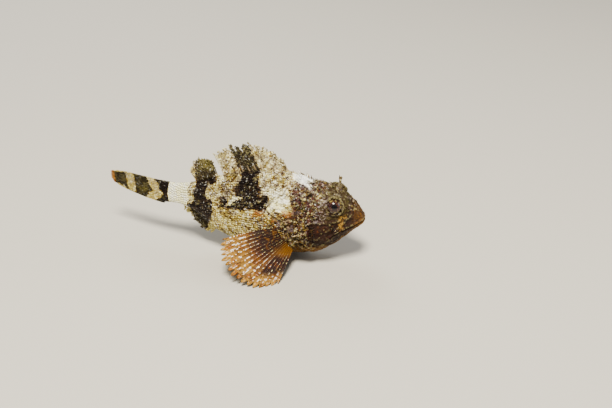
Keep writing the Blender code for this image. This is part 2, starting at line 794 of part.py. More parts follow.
def pelvic_surface(hand):
    """The middle of the belly fin, a prop that spreads from the chest out to the floor."""

    def surface(u, t):
        v = u / (PELVIC_RAYS - 1)
        along = PELVIC_ROOT_FRONT[0] + (PELVIC_ROOT_REAR[0] - PELVIC_ROOT_FRONT[0]) * v
        side = PELVIC_ROOT_FRONT[1] + (PELVIC_ROOT_REAR[1] - PELVIC_ROOT_FRONT[1]) * v
        foot = Vector((along, side, through(BELLY, along) + PELVIC_SUNK))
        tip = Vector((through(PELVIC_TIP_ALONG, v), through(PELVIC_TIP_SIDE, v), PELVIC_TIP_UP))
        bow = PELVIC_BOW * math.sin(math.pi * min(t, 1))
        return mirrored(foot + (tip - foot) * t + Vector((0, 0, bow)), hand)

    return surface


def into_pose(point):
    """Bends the straight fish and stands it over the floor, in metres."""
    along, side, up = point
    past = max(0.0, along - BEND_START)
    turn = past / BEND_RADIUS
    back = min(along, BEND_START) + (BEND_RADIUS - side) * math.sin(turn)
    left = BEND_RADIUS - (BEND_RADIUS - side) * math.cos(turn)
    lift = max(0.0, along - LIFT_START) ** 2 / (2 * LIFT_RADIUS)
    return Vector((SNOUT_X - back, left, SNOUT_HEIGHT + up + lift)) * MM


def material(name, colour, roughness):
    """A plain finish of one colour."""
    made = bpy.data.materials.new(name)
    made.use_nodes = True
    shader = made.node_tree.nodes["Principled BSDF"]
    shader.inputs["Base Color"].default_value = (*colour, 1)
    shader.inputs["Roughness"].default_value = roughness
    shader.inputs["Metallic"].default_value = 0.0
    return made


def finish(obj, name, look, parent, fish):
    """Names a piece, poses it, gives it its finish and puts it in the fish's collection."""
    keep_largest(obj)
    obj.name = obj.data.name = name
    for vertex in obj.data.vertices:
        vertex.co = into_pose(vertex.co)
    bm = bmesh.new()
    bm.from_mesh(obj.data)
    face_outwards(bm)
    middle = sum((v.co for v in bm.verts), Vector()) / len(bm.verts)
    bm.transform(Matrix.Translation(-middle))
    bm.to_mesh(obj.data)
    bm.free()
    obj.location = middle
    obj.data.materials.clear()
    obj.data.materials.append(look)
    obj.data.shade_smooth()
    obj.data.set_sharp_from_angle(angle=math.radians(50))
    for collection in list(obj.users_collection):
        collection.objects.unlink(obj)
    fish.objects.link(obj)
    obj.parent = parent


def main():
    for obj in list(bpy.data.objects):
        bpy.data.objects.remove(obj)
    fish = bpy.data.collections.new("black_scorpionfish")
    bpy.context.scene.collection.children.link(fish)
    parent = bpy.data.objects.new("black_scorpionfish", None)
    fish.objects.link(parent)

    dark_skin = material("dark_skin", (0.10, 0.06, 0.04), 0.6)
    pale_skin = material("pale_skin", (0.42, 0.34, 0.22), 0.6)
    fin_look = material("fin", (0.36, 0.20, 0.09), 0.5)
    eye_look = material("eye", (0.05, 0.02, 0.02), 0.1)

    body = whole_body()
    head_outline = [HEAD_FRONT[1]] + list(GILL_LINE) + [HEAD_FRONT[0]]
    jaw_outline = list(MOUTH_LINE) + list(JAW_REAR)

    head = copy_of(body, "head")
    boolean(head, [prism(head_outline)], "INTERSECT")
    jaw = copy_of(head, "lower_jaw")
    boolean(head, [prism(outset(jaw_outline, GAP))], "DIFFERENCE")
    boolean(jaw, [prism(jaw_outline)], "INTERSECT")
    trunk = copy_of(body, "trunk")
    boolean(trunk, [prism(outset(head_outline, GAP))], "DIFFERENCE")
    boolean(trunk, [slab(STALK_START, 2 * BODY_LENGTH)], "DIFFERENCE")
    stalk = copy_of(body, "tail_stalk")
    boolean(stalk, [slab(-BODY_LENGTH, STALK_START + GAP)], "DIFFERENCE")

    added = [lip(LIP_FROM_MOUTH)]
    holes = []
    trunk_added = []
    for hand in (1, -1):
        added += skull_spines(hand) + ridges(hand) + [lids(hand), brow(hand), maxilla(hand)]
        added += skin_flaps(HEAD_FLAPS, hand)
        trunk_added += skin_flaps(TRUNK_FLAPS, hand)
        for along, degrees, radius, height in NOSTRILS:
            place = (along, degrees)
            added.append(nostril(place, hand, radius, height, NOSTRIL_SUNK))
            holes.append(nostril(place, hand, NOSTRIL_HOLE, height + 1, NOSTRIL_HOLE_DEPTH))
        holes.append(ball(eye_centre(hand), EYE_RADIUS + GAP, SOCKET_FACES))
        holes.append(tentacle_socket(hand))
    boolean(head, added, "UNION")
    boolean(trunk, trunk_added, "UNION")
    boolean(head, holes, "DIFFERENCE")
    # The lips are trimmed back to the mouth's slit by a cutter a hair short of the first.
    boolean(head, [prism(outset(jaw_outline, GAP * 0.999))], "DIFFERENCE")
    boolean(jaw, [lip(-LIP_FROM_MOUTH)], "UNION")
    boolean(jaw, [prism(jaw_outline)], "INTERSECT")

    pieces = [
        (head, "head", dark_skin),
        (jaw, "lower_jaw", dark_skin),
        (trunk, "trunk", pale_skin),
        (stalk, "tail_stalk", pale_skin),
    ]
    for hand, name in ((1, "left"), (-1, "right")):
        pieces.append((ball(eye_centre(hand), EYE_RADIUS, EYE_FACES), "eye_" + name, eye_look))
        pieces.append((tentacle(hand), "tentacle_" + name, dark_skin))

    inflated = copy_of(body, "inflated")
    swell = inflated.modifiers.new("swell", "DISPLACE")
    swell.strength = GAP
    swell.mid_level = 0.0
    applied(inflated)
    floor_outline = [
        (-OVERSHOOT, -SNOUT_HEIGHT), (3 * BODY_LENGTH, -SNOUT_HEIGHT),
        (3 * BODY_LENGTH, -2 * SNOUT_HEIGHT), (-OVERSHOOT, -2 * SNOUT_HEIGHT),
    ]

    spiny = upright_fin(SPINY_LENGTHS, SPINY_START, SPINY_END, BACK, *SPINY_STAND)
    soft = upright_fin(SOFT_LENGTHS, SOFT_START, SOFT_END, BACK, *SOFT_STAND)
    anal = upright_fin(ANAL_LENGTHS, ANAL_START, ANAL_END, BELLY, *ANAL_STAND)
    spiny_columns = ray_columns(len(SPINY_LENGTHS), SPINY_SHOULDER)
    spiny_columns += [(u, 0.0) for u in SPINY_LAST_WEB]
    soft_columns = ray_columns(len(SOFT_LENGTHS))
    anal_columns = ray_columns(len(ANAL_LENGTHS))
    # Name, middle, columns, dip of the margin, rows, and thickness: web at root and at margin,
    # then what a ray adds at root and at tip.
    sheets = [
        ("dorsal_fin_spiny", spiny, spiny_columns, 0.26, 5, (1.0, 0.5, 0.9, 0.15)),
        ("dorsal_fin_soft", soft, soft_columns, 0.12, 6, (1.0, 0.5, 0.5, 0.1)),
        ("anal_fin", anal, anal_columns, 0.14, 6, (1.0, 0.5, 0.6, 0.1)),
        ("caudal_fin", caudal_surface, ray_columns(CAUDAL_RAYS), 0.05, 6, (1.8, 0.5, 0.5, 0.1)),
    ]
    for hand, name in ((1, "left"), (-1, "right")):
        breast, belly = pectoral_surface(hand), pelvic_surface(hand)
        breast_columns, belly_columns = ray_columns(PECTORAL_RAYS), ray_columns(PELVIC_RAYS)
        sheets += [
            ("pectoral_fin_" + name, breast, breast_columns, 0.09, 6, (1.3, 0.5, 0.7, 0.25)),
            ("pelvic_fin_" + name, belly, belly_columns, 0.12, 6, (1.4, 0.6, 0.7, 0.3)),
        ]
    fins = [
        plate(name, middle, columns, notched(dip), ray_thickness(*sizes), rows)
        for name, middle, columns, dip, rows, sizes in sheets
    ]
    for fin in fins:
        boolean(fin, [copy_of(inflated, "cutter"), prism(floor_outline)], "DIFFERENCE")
        pieces.append((fin, fin.name, fin_look))
    for helper in (body, inflated):
        bpy.data.objects.remove(helper)
    for obj, name, look in pieces:
        finish(obj, name, look, parent, fish)


main()
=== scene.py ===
"""A black scorpionfish as a still model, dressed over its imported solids.

The fish is shaped straight, in millimetres: "along" runs back from the snout's tip, "side" out
to the fish's left and "up" above the snout's tip. in_pose() then bends the tail to the left,
stands the fish over the floor and turns millimetres into metres. Each piece keeps its straight
place in the attribute "fish", which its colours read.
"""

import math

import bpy
import numpy as np
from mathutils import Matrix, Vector, noise


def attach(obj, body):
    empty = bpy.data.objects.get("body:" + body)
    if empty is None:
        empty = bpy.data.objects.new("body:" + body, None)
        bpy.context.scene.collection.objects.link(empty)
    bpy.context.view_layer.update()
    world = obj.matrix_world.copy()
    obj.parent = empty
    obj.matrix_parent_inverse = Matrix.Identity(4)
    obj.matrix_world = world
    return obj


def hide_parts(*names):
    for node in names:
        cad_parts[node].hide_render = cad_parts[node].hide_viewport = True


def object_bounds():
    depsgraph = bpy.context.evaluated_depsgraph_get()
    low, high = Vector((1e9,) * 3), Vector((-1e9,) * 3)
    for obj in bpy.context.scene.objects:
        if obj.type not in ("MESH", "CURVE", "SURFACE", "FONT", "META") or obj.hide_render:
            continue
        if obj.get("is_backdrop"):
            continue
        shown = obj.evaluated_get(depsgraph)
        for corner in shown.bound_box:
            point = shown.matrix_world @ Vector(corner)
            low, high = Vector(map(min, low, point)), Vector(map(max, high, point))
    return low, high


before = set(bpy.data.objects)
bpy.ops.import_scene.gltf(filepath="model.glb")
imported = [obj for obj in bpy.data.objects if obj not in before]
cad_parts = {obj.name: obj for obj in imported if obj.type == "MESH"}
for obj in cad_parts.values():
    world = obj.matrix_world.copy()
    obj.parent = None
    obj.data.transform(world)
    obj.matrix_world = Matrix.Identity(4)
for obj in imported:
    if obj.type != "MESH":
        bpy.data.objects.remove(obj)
cad_low, cad_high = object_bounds()

# The studio: a plain pale floor and large soft lights. The camera stands at the fish's
# right, a little ahead of its middle, and looks down at it as in the photograph.

CAMERA_AZIMUTH = math.radians(8)
CAMERA_ELEVATION = math.radians(28)
CAMERA_DISTANCE = 0.413
CAMERA_TARGET = Vector((0.0347, 0.0, 0.0262))
CAMERA_LENS = 55
FLOOR_COLOUR = (0.50, 0.48, 0.435, 1)

bpy.ops.object.select_all(action="DESELECT")
towards_camera = Vector((
    math.sin(CAMERA_AZIMUTH) * math.cos(CAMERA_ELEVATION),
    -math.cos(CAMERA_AZIMUTH) * math.cos(CAMERA_ELEVATION),
    math.sin(CAMERA_ELEVATION),
))
bpy.ops.object.camera_add(
    location=CAMERA_TARGET + towards_camera * CAMERA_DISTANCE,
    rotation=(math.pi / 2 - CAMERA_ELEVATION, 0, CAMERA_AZIMUTH),
)
camera = bpy.context.object
camera.name = "camera"
camera.data.lens = CAMERA_LENS
camera.data.sensor_width = 36
camera.data.clip_start = 0.01
bpy.context.scene.camera = camera


def soft_light(name, place, size, watts, colour=(1, 1, 1)):
    bpy.ops.object.light_add(type="AREA", location=place)
    light = bpy.context.object
    light.name = name
    light.data.shape = "DISK"
    light.data.size = size
    light.data.energy = watts
    light.data.color = colour
    light.rotation_euler = (-Vector(place)).to_track_quat("-Z", "Y").to_euler()


soft_light("key_light", (0.05, -0.40, 0.80), 0.25, 23.0, (1.0, 0.93, 0.78))
soft_light("back_light", (-0.35, 0.55, 0.55), 0.5, 5.0, (1.0, 0.98, 0.94))
soft_light("side_light", (0.75, 0.10, 0.35), 0.5, 2.0)
world = bpy.data.worlds.new("studio")
bpy.context.scene.world = world
world.use_nodes = True
world.node_tree.nodes["Background"].inputs["Color"].default_value = (0.97, 0.95, 0.90, 1)
world.node_tree.nodes["Background"].inputs["Strength"].default_value = 0.2


class Value:
    """A socket that can be added, multiplied and so on as a number is."""

    def __init__(self, finish, socket):
        self.finish = finish
        self.socket = socket

    def maths(self, operation, *others):
        return self.finish.add("ShaderNodeMath", {"operation": operation}, [self, *others])

    def __add__(self, other):
        return self.maths("ADD", other)

    def __sub__(self, other):
        return self.maths("SUBTRACT", other)

    def __rsub__(self, other):
        return self.finish.add("ShaderNodeMath", {"operation": "SUBTRACT"}, [other, self])

    def __mul__(self, other):
        return self.maths("MULTIPLY", other)

    __radd__ = __add__
    __rmul__ = __mul__

    def ramped(self, low, high):
        """0 under low, 1 over high, and smooth between; the other way round where low is higher."""
        inputs = {"Value": self, "From Min": low, "From Max": high}
        return self.finish.add("ShaderNodeMapRange", {"interpolation_type": "SMOOTHSTEP"}, inputs)

    def within(self, low, high, soft):
        return self.ramped(low - soft, low + soft) * self.ramped(high + soft, high - soft)


class Finish:
    """A material and the nodes that paint it."""

    def __init__(self, name, roughness, gloss=0.09):
        self.material = bpy.data.materials.new(name)
        self.material.use_nodes = True
        self.tree = self.material.node_tree
        self.shader = self.tree.nodes["Principled BSDF"]
        self.shader.inputs["Roughness"].default_value = roughness
        self.shader.inputs["Specular IOR Level"].default_value = gloss

    def add(self, kind, settings, inputs, output=0):
        node = self.tree.nodes.new(kind)
        for setting, value in settings.items():
            if setting == "stops":
                self.set_stops(node.color_ramp.elements, value)
            else:
                setattr(node, setting, value)
        self.fill(node, inputs.items() if isinstance(inputs, dict) else enumerate(inputs))
        return Value(self, node.outputs[output])

    def fill(self, node, pairs):
        for place, value in pairs:
            if isinstance(value, Value):
                self.tree.links.new(value.socket, node.inputs[place])
            else:
                node.inputs[place].default_value = value

    def set_stops(self, elements, stops):
        while len(elements) < len(stops):
            elements.new(1.0)
        for element, (position, colour) in zip(elements, stops):
            element.position = position
            element.color = colour

    def feed(self, socket, value):
        self.tree.links.new(value.socket, self.shader.inputs[socket])

    def place(self, attribute):
        return self.add("ShaderNodeAttribute", {"attribute_name": attribute}, {}, "Vector")

    def parts_of(self, vector):
        return [self.add("ShaderNodeSeparateXYZ", {}, [vector], k) for k in range(3)]

    def noise(self, vector, scale, detail=2.0, roughness=0.5):
        inputs = {"Vector": vector, "Scale": scale, "Detail": detail, "Roughness": roughness}
        return self.add("ShaderNodeTexNoise", {}, inputs)

    def cells(self, vector, scale, output=0):
        return self.add("ShaderNodeTexVoronoi", {}, {"Vector": vector, "Scale": scale}, output)

    def shaken(self, vector, scale, reach):
        """The vector pushed about by noise, so that what is drawn on it gets ragged edges."""
        push = self.add("ShaderNodeTexNoise", {}, {"Vector": vector, "Scale": scale, "Detail": 3}, 1)
        multiply_add = {"operation": "MULTIPLY_ADD"}
        pushed = self.add("ShaderNodeVectorMath", multiply_add, [push, (reach,) * 3, vector])
        return self.add("ShaderNodeVectorMath", {"operation": "SUBTRACT"}, [pushed, (reach / 2,) * 3])

    def mix(self, share, under, over):
        node = self.tree.nodes.new("ShaderNodeMix")
        node.data_type = "RGBA"
        self.fill(node, ((0, share), (6, under), (7, over)))
        return Value(self, node.outputs[2])

    def stained(self, colour, stains):
        """The colour under stains laid on in turn, each with the share it covers and its colour."""
        for share, stain in stains:
            colour = self.mix(share, colour, stain)
        return colour

    def bump(self, height, distance):
        inputs = {"Strength": 1.0, "Distance": distance, "Height": height}
        self.feed("Normal", self.add("ShaderNodeBump", {}, inputs))


floor_finish = Finish("pale_floor", 0.85)
floor_finish.shader.inputs["Base Color"].default_value = FLOOR_COLOUR
bpy.ops.mesh.primitive_plane_add(size=6, location=(0, 0, 0))
floor = bpy.context.object
floor.name = "floor"
floor.data.materials.append(floor_finish.material)
floor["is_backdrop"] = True

# The skin: one hide over the head, jaw, trunk and tail stalk, scaled behind the head and bare
# and rough in front of it. The skull's ridges, the lids, lips, nostrils and gill cover stand
# out under it, the mouth is slit open and the eyes lie in sockets.

SNOUT_X = 60.0
SNOUT_HEIGHT = 22.6
BEND_START = 40.0
BEND_RADIUS = 225.0
LIFT_START = 50.0
LIFT_RADIUS = 700.0
BODY_FRONT = -0.8
BODY_LENGTH = 94.0
SKIN_DEPTH = 0.12  # how far under the solids' surface the hide lies
BACK = (
    (-0.8, -0.7), (0.5, 2.4), (3.7, 5.6), (8, 8.8), (12, 10.9), (16.5, 12.7), (21, 14.1),
    (26, 16.2), (32, 18.4), (38, 19.2), (45, 18.9), (53, 17.6), (62, 15.0), (70, 11.8),
    (78, 8.6), (86, 6.7), (94, 6.3),
)
BELLY = (
    (-0.8, -1.7), (0.5, -3.8), (3.7, -6.6), (8, -10.4), (12, -13.8), (16.5, -16.8),
    (21, -18.3), (26, -18.9), (32, -18.9), (38, -18.5), (45, -17.8), (53, -16.5),
    (62, -13.8), (67, -11.8), (71, -8.8), (75, -5.3), (79, -3.3), (84, -2.9), (89, -3.6),
    (94, -4.8),
)
FLANK = (
    (-0.8, 1.4), (0.5, 3.8), (3.7, 6.1), (8, 8.2), (14.7, 10.2), (21, 11.8), (28, 12.9),
    (36, 13.0), (42, 12.6), (50, 11.2), (60, 8.6), (70, 5.8), (80, 3.7), (90, 2.4), (94, 2.1),
)
WIDEST = ((-0.8, -1.2), (8, -2.4), (15, -3.4), (30, -3.0), (45, -2.0), (60, -0.8), (94, 0.2))
BACK_SHAPE = ((-0.8, 0.9), (8, 0.75), (15, 0.7), (24, 0.85), (36, 1.15), (50, 1.25), (94, 1.0))
BELLY_SHAPE = ((-0.8, 0.85), (15, 0.85), (30, 0.8), (45, 0.75), (60, 0.85), (94, 1.0))
EYE_ALONG, EYE_SIDE, EYE_UP = 12.3, 6.7, 7.0
EYE_RADIUS = 4.0
EYE_LOOK = Vector((-0.17, 0.88, 0.36)).normalized()
MOUTH_LINE = ((-5.0, 0.9), (-0.8, -1.0), (4.0, -2.4), (8.5, -4.2), (12.6, -6.6), (14.0, -7.8))
GILL_LINE = (
    (30.4, 26.0), (30.6, 17.4), (33.6, 12.0), (38.8, 8.4), (41.0, 5.8), (38.2, 3.4),
    (34.0, 1.6), (31.8, -1.2), (30.6, -4.4), (29.2, -8.2), (27.2, -11.8), (24.4, -14.8),
    (21.6, -17.4), (20.0, -26.0),
)
CHEEK_LINE = ((22.0, 2.0), (25.5, -2.0), (25.5, -7.0), (23.0, -11.5), (19.0, -14.0))
SKIN_RINGS = 240
SKIN_SIDES = 180
SKIN_VOXEL = 0.335


def through(points, x):
    """The smooth curve through (x, value) points, read at every x."""
    px, py = np.array(points, float).T
    rise = np.gradient(py, px)
    rise[1:-1] = (py[2:] - py[:-2]) / (px[2:] - px[:-2])
    x = np.clip(x, px[0], px[-1])
    i = np.clip(np.searchsorted(px, x, side="right") - 1, 0, len(px) - 2)
    span = px[i + 1] - px[i]
    t = (x - px[i]) / span
    return (
        (2 * t**3 - 3 * t**2 + 1) * py[i]
        + (t**3 - 2 * t**2 + t) * span * rise[i]
        + (3 * t**2 - 2 * t**3) * py[i + 1]
        + (t**3 - t**2) * span * rise[i + 1]
    )


def hump(distance, spread):
    return np.exp(-((distance / spread) ** 2))


def smooth(x, low, high):
    t = np.clip((x - low) / (high - low), 0, 1)
    return t * t * (3 - 2 * t)


def line_distance(along, up, line):
    """Distance in side view to a line, and less than 0 in front of it."""
    best = np.full(np.shape(along), 1e9)
    sign = np.ones(np.shape(along))
    for (a0, u0), (a1, u1) in zip(line, line[1:]):
        da, du = a1 - a0, u1 - u0
        t = np.clip(((along - a0) * da + (up - u0) * du) / (da**2 + du**2), 0, 1)
        away = np.hypot(along - a0 - t * da, up - u0 - t * du)
        cross = (along - a0) * du - (up - u0) * da
        nearer = away < best
        best = np.where(nearer, away, best)
        sign = np.where(nearer, np.sign(cross), sign)
    return best * -sign


def relief(along, side, up):
    """How far the hide stands out from the plain section."""
    above = smooth(up, -1, 1)
    orbit = 2.2 * hump(along - EYE_ALONG, 5.4) * hump(up - EYE_UP, 5.0)
    between_eyes = -1.8 * above * hump(side, 2.6) * hump(along - EYE_ALONG, 4.5)
    nape_pit = -1.3 * above * hump(side, 4.0) * hump(along - 23.5, 2.8)
    cheek = 0.7 * hump(up + 2.4, 1.8) * hump(along - 19, 9)
    jowl = 0.7 * hump(up + 8.5, 3.5) * hump(along - 16, 4)
    gill_cover = 0.9 * hump(up + 1.0, 8.0) * hump(along - 36, 5.5)
    gill = line_distance(along, up, GILL_LINE)
    gill_edge = 0.35 * smooth(gill, -5, -0.4) * smooth(gill, 0.15, -0.15)
    gill_slot = -0.75 * smooth(gill, -0.1, 0.2) * smooth(gill, 2.4, 0.3)
    flank_only = smooth(up, 17, 12)
    front_gill = line_distance(along, up, CHEEK_LINE)
    ridge = 0.5 * hump(front_gill, 0.7) * smooth(up, 4, 1) - 0.35 * hump(front_gill - 1.4, 0.8)
    return (
        orbit + between_eyes + nape_pit + cheek + jowl + gill_cover + ridge
        + (gill_edge + gill_slot) * flank_only
    )


def skin_at(along, angle):
    """The hide's points at those distances back and turns, 0 at the left flank."""
    c, s = np.cos(angle), np.sin(angle)
    widest = through(WIDEST, along)
    upper = s >= 0
    edge = np.where(upper, through(BACK, along), through(BELLY, along))
    shape = np.where(upper, through(BACK_SHAPE, along), through(BELLY_SHAPE, along))
    height = np.abs(edge - widest)
    width = through(FLANK, along)
    side = width * np.copysign(np.abs(c) ** shape, c)
    up = widest + height * s
    outward = np.stack([np.zeros_like(side), side / width**2, (up - widest) / height**2], -1)
    outward /= np.linalg.norm(outward, axis=-1, keepdims=True) + 1e-12
    out = relief(along, side, up) * np.minimum(1, (along - BODY_FRONT) / 6) - SKIN_DEPTH
    return np.stack([along + 0 * side, side, up], -1) + outward * out[..., None]


def unit(vectors):
    return vectors / np.linalg.norm(vectors, axis=-1, keepdims=True)


def skin_frame(along, angle):
    """The hide's points, with its normals and the way back along it."""
    step = 0.04
    around = skin_at(along, angle + step) - skin_at(along, angle - step)
    back = skin_at(along + step, angle) - skin_at(along - step, angle)
    return skin_at(along, angle), unit(np.cross(around, back)), unit(back)


def skin_at_height(along, up):
    angles = np.radians(np.linspace(-88, 88, 353))
    points = skin_at(np.full(angles.shape, float(along)), angles)
    return Vector(points[np.abs(points[:, 2] - up).argmin()])


def mirrored(point, hand):
    """The point on the fish's left for hand 1, and on its right for hand -1."""
    return Vector((point[0], point[1] * hand, point[2]))


def skin_frame_on(hand, along, degrees):
    """The frame at one place of the hide, on that hand's side."""
    frame_there = skin_frame(np.array([along]), np.array([math.radians(degrees)]))
    return [mirrored(vectors[0], hand) for vectors in frame_there]


def in_pose(points):
    """Bends the straight fish and stands it over the floor, in metres."""
    along, side, up = np.asarray(points, float).T
    turn = np.maximum(0, along - BEND_START) / BEND_RADIUS
    back = np.minimum(along, BEND_START) + (BEND_RADIUS - side) * np.sin(turn)
    left = BEND_RADIUS - (BEND_RADIUS - side) * np.cos(turn)
    lift = np.maximum(0, along - LIFT_START) ** 2 / (2 * LIFT_RADIUS)
    return np.stack([SNOUT_X - back, left, SNOUT_HEIGHT + up + lift], -1) * 0.001


def corners(obj, what="co"):
    """Each corner's place, or its normal."""
    flat = np.empty(len(obj.data.vertices) * 3)
    obj.data.vertices.foreach_get(what, flat)
    return flat.reshape(-1, 3)


def move_corners(obj, points):
    obj.data.vertices.foreach_set("co", np.asarray(points, float).ravel())
    obj.data.update()


def keep(obj, name, points):
    """Stores a point for each corner, for the materials to read."""
    layer = obj.data.attributes.new(name, "FLOAT_VECTOR", "POINT")
    layer.data.foreach_set("vector", np.asarray(points, float).ravel())


def added(name):
    """The primitive just added, named, with its place in its mesh."""
    obj = bpy.context.object
    obj.name = obj.data.name = name
    bpy.ops.object.transform_apply(location=True, rotation=True, scale=True)
    return obj


def new_object(name, data):
    obj = bpy.data.objects.new(name, data)
    bpy.context.scene.collection.objects.link(obj)
    return obj


def choose(obj):
    """Leaves the object alone selected and active."""
    bpy.ops.object.select_all(action="DESELECT")
    obj.select_set(True)
    bpy.context.view_layer.objects.active = obj


def joined(name, pieces):
    bpy.ops.object.select_all(action="DESELECT")
    for piece in pieces:
        piece.select_set(True)
    bpy.context.view_layer.objects.active = pieces[0]
    bpy.ops.object.join()
    pieces[0].name = pieces[0].data.name = name
    return pieces[0]


def with_modifier(obj, kind, **settings):
    """Adds a modifier with those settings and applies it."""
    modifier = obj.modifiers.new(kind.lower(), kind)
    for setting, value in settings.items():
        setattr(modifier, setting, value)
    choose(obj)
    bpy.ops.object.modifier_apply(modifier=modifier.name)
    return obj


def posed(obj, finish, slot, *nodes):
    """Bends a straight piece into the pose, gives it its finish, and hides the imported parts it
    stands for.
    """
    straight = corners(obj)
    keep(obj, "fish", straight)
    move_corners(obj, in_pose(straight))
    obj.data.materials.clear()
    obj.data.materials.append(finish.material)
    for face in obj.data.polygons:
        face.use_smooth = True
    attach(obj, "root")
    if nodes:
        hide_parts(*nodes)
    return obj


def tube(name, points, radii, sides=10):
    """A closed tube along the points, as thick as the radii say."""
    curve = bpy.data.curves.new(name, "CURVE")
    curve.dimensions = "3D"
    curve.bevel_depth = 1.0
    curve.bevel_resolution = max(0, sides // 2 - 2)
    curve.use_fill_caps = True
    spline = curve.splines.new("POLY")
    spline.points.add(len(points) - 1)
    for point, place, radius in zip(spline.points, points, radii):
        point.co = (*place, 1)
        point.radius = radius
    choose(new_object(name, curve))
    bpy.ops.object.convert(target="MESH")
    return with_modifier(bpy.context.object, "WELD", merge_threshold=0.0001)


def cone(name, root, tip, radius, sides=10, end=0.08):
    root, tip = Vector(root), Vector(tip)
    bpy.ops.mesh.primitive_cone_add(
        vertices=sides,
        radius1=radius,
        radius2=radius * end,
        depth=(tip - root).length,
        location=(root + tip) / 2,
        rotation=(tip - root).to_track_quat("Z", "Y").to_euler(),
    )
    return added(name)


def ball(name, radius, place=(0, 0, 0), segments=64, rings=40):
    bpy.ops.mesh.primitive_uv_sphere_add(
        segments=segments, ring_count=rings, radius=radius, location=place
    )
    return added(name)


def eye_centre(hand):
    return mirrored((EYE_ALONG, EYE_SIDE, EYE_UP), hand)


def far_from_eye(points):
    return np.linalg.norm(np.abs(points) - np.array([EYE_ALONG, EYE_SIDE, EYE_UP]), axis=1)


LID_OUT, LID_THICK = 1.9, 0.62
BROW_FROM_EYE = (-1.2, -2.15, 3.65)
BROW_RADIUS = 1.7
LIP_RADIUS = 0.72
LIP_APART = 0.72
LIP_REACH = 12.0
LIP_STEPS = 14
# The upper jaw's blade: distance back, height, and how thick it is there.
MAXILLA = (
    (4.5, -1.2, 0.6), (7.5, -2.6, 0.9), (10.5, -4.6, 1.15), (13.2, -7.0, 1.4), (15.0, -9.0, 0.9),
)
# Nostrils of one side: distance back, turn up from the flank in degrees, radius, height.
NOSTRILS = ((7.4, 50, 0.8, 0.9), (9.4, 40, 0.7, 0.5))
# Spines of one side of the skull: distance back, turn up in degrees, length, root radius.
SKULL_SPINES = (
    (5.2, 60, 2.0, 0.5), (8.8, 58, 2.2, 0.55), (14.2, 68, 2.2, 0.6), (18.4, 60, 2.6, 0.6),
    (21.2, 52, 2.4, 0.55), (23.8, 64, 3.0, 0.65), (27.2, 62, 3.0, 0.65), (29.0, 46, 2.6, 0.6),
    (35.8, 26, 4.2, 0.7), (30.4, 13, 3.6, 0.65), (25.6, -6, 4.2, 0.75), (25.0, -20, 3.4, 0.7),
    (23.2, -34, 2.8, 0.6), (20.8, -46, 2.4, 0.55), (16.2, 13, 2.4, 0.55), (21.4, 12, 2.6, 0.6),
    (10.2, -2, 2.0, 0.55),
)
SPINE_LEAN = math.radians(58)
# Bony ridges of one side under the hide: how far each stands out, and its line in side view.
RIDGES = (
    (0.80, ((9.0, 1.2), (13.0, 0.5), (18.0, 0.3), (24.0, 1.2))),
    (0.70, ((4.6, 3.0), (6.5, 1.4), (8.6, -0.9), (9.4, -2.4))),
    (0.80, ((24.4, 3.0), (26.0, -2.5), (25.7, -7.0), (23.4, -11.2), (20.0, -14.0))),
    (0.75, ((17.4, 8.8), (21.0, 9.9), (25.5, 10.6), (29.5, 11.4))),
    (0.80, ((15.8, 11.4), (19.5, 12.0), (24.0, 13.2), (28.6, 14.4))),
    (0.60, ((27.8, 3.8), (33.0, 5.1), (38.2, 6.0))),
    (0.60, ((27.8, 1.8), (31.5, 0.9), (34.4, 0.5))),
    (0.65, ((1.6, 3.0), (4.4, 5.4), (7.6, 7.9))),
)
# A spine's sheath, and the thorn in it: how far under the hide and ahead of its foot it is
# rooted, its share of the spine's length and of its radius, its sides, and its tip's share.
SHEATH = (1.1, 1.6, 0.62, 1.5, 12, 0.25)
THORN = (0.8, 0.3, 1.0, 0.8, 10, 0.08)


def spine(name, hand, spine_sizes, cone_sizes):
    """A cone up one of the skull's spines."""
    along, degrees, length, radius = spine_sizes
    sunk, ahead, long_share, thick_share, sides, tip_share = cone_sizes
    foot, out, back = skin_frame_on(hand, along, degrees)
    way = out * math.cos(SPINE_LEAN) + back * math.sin(SPINE_LEAN)
    tip = foot + way * length * long_share
    return cone(name, foot - out * sunk - back * ahead, tip, radius * thick_share, sides, tip_share)


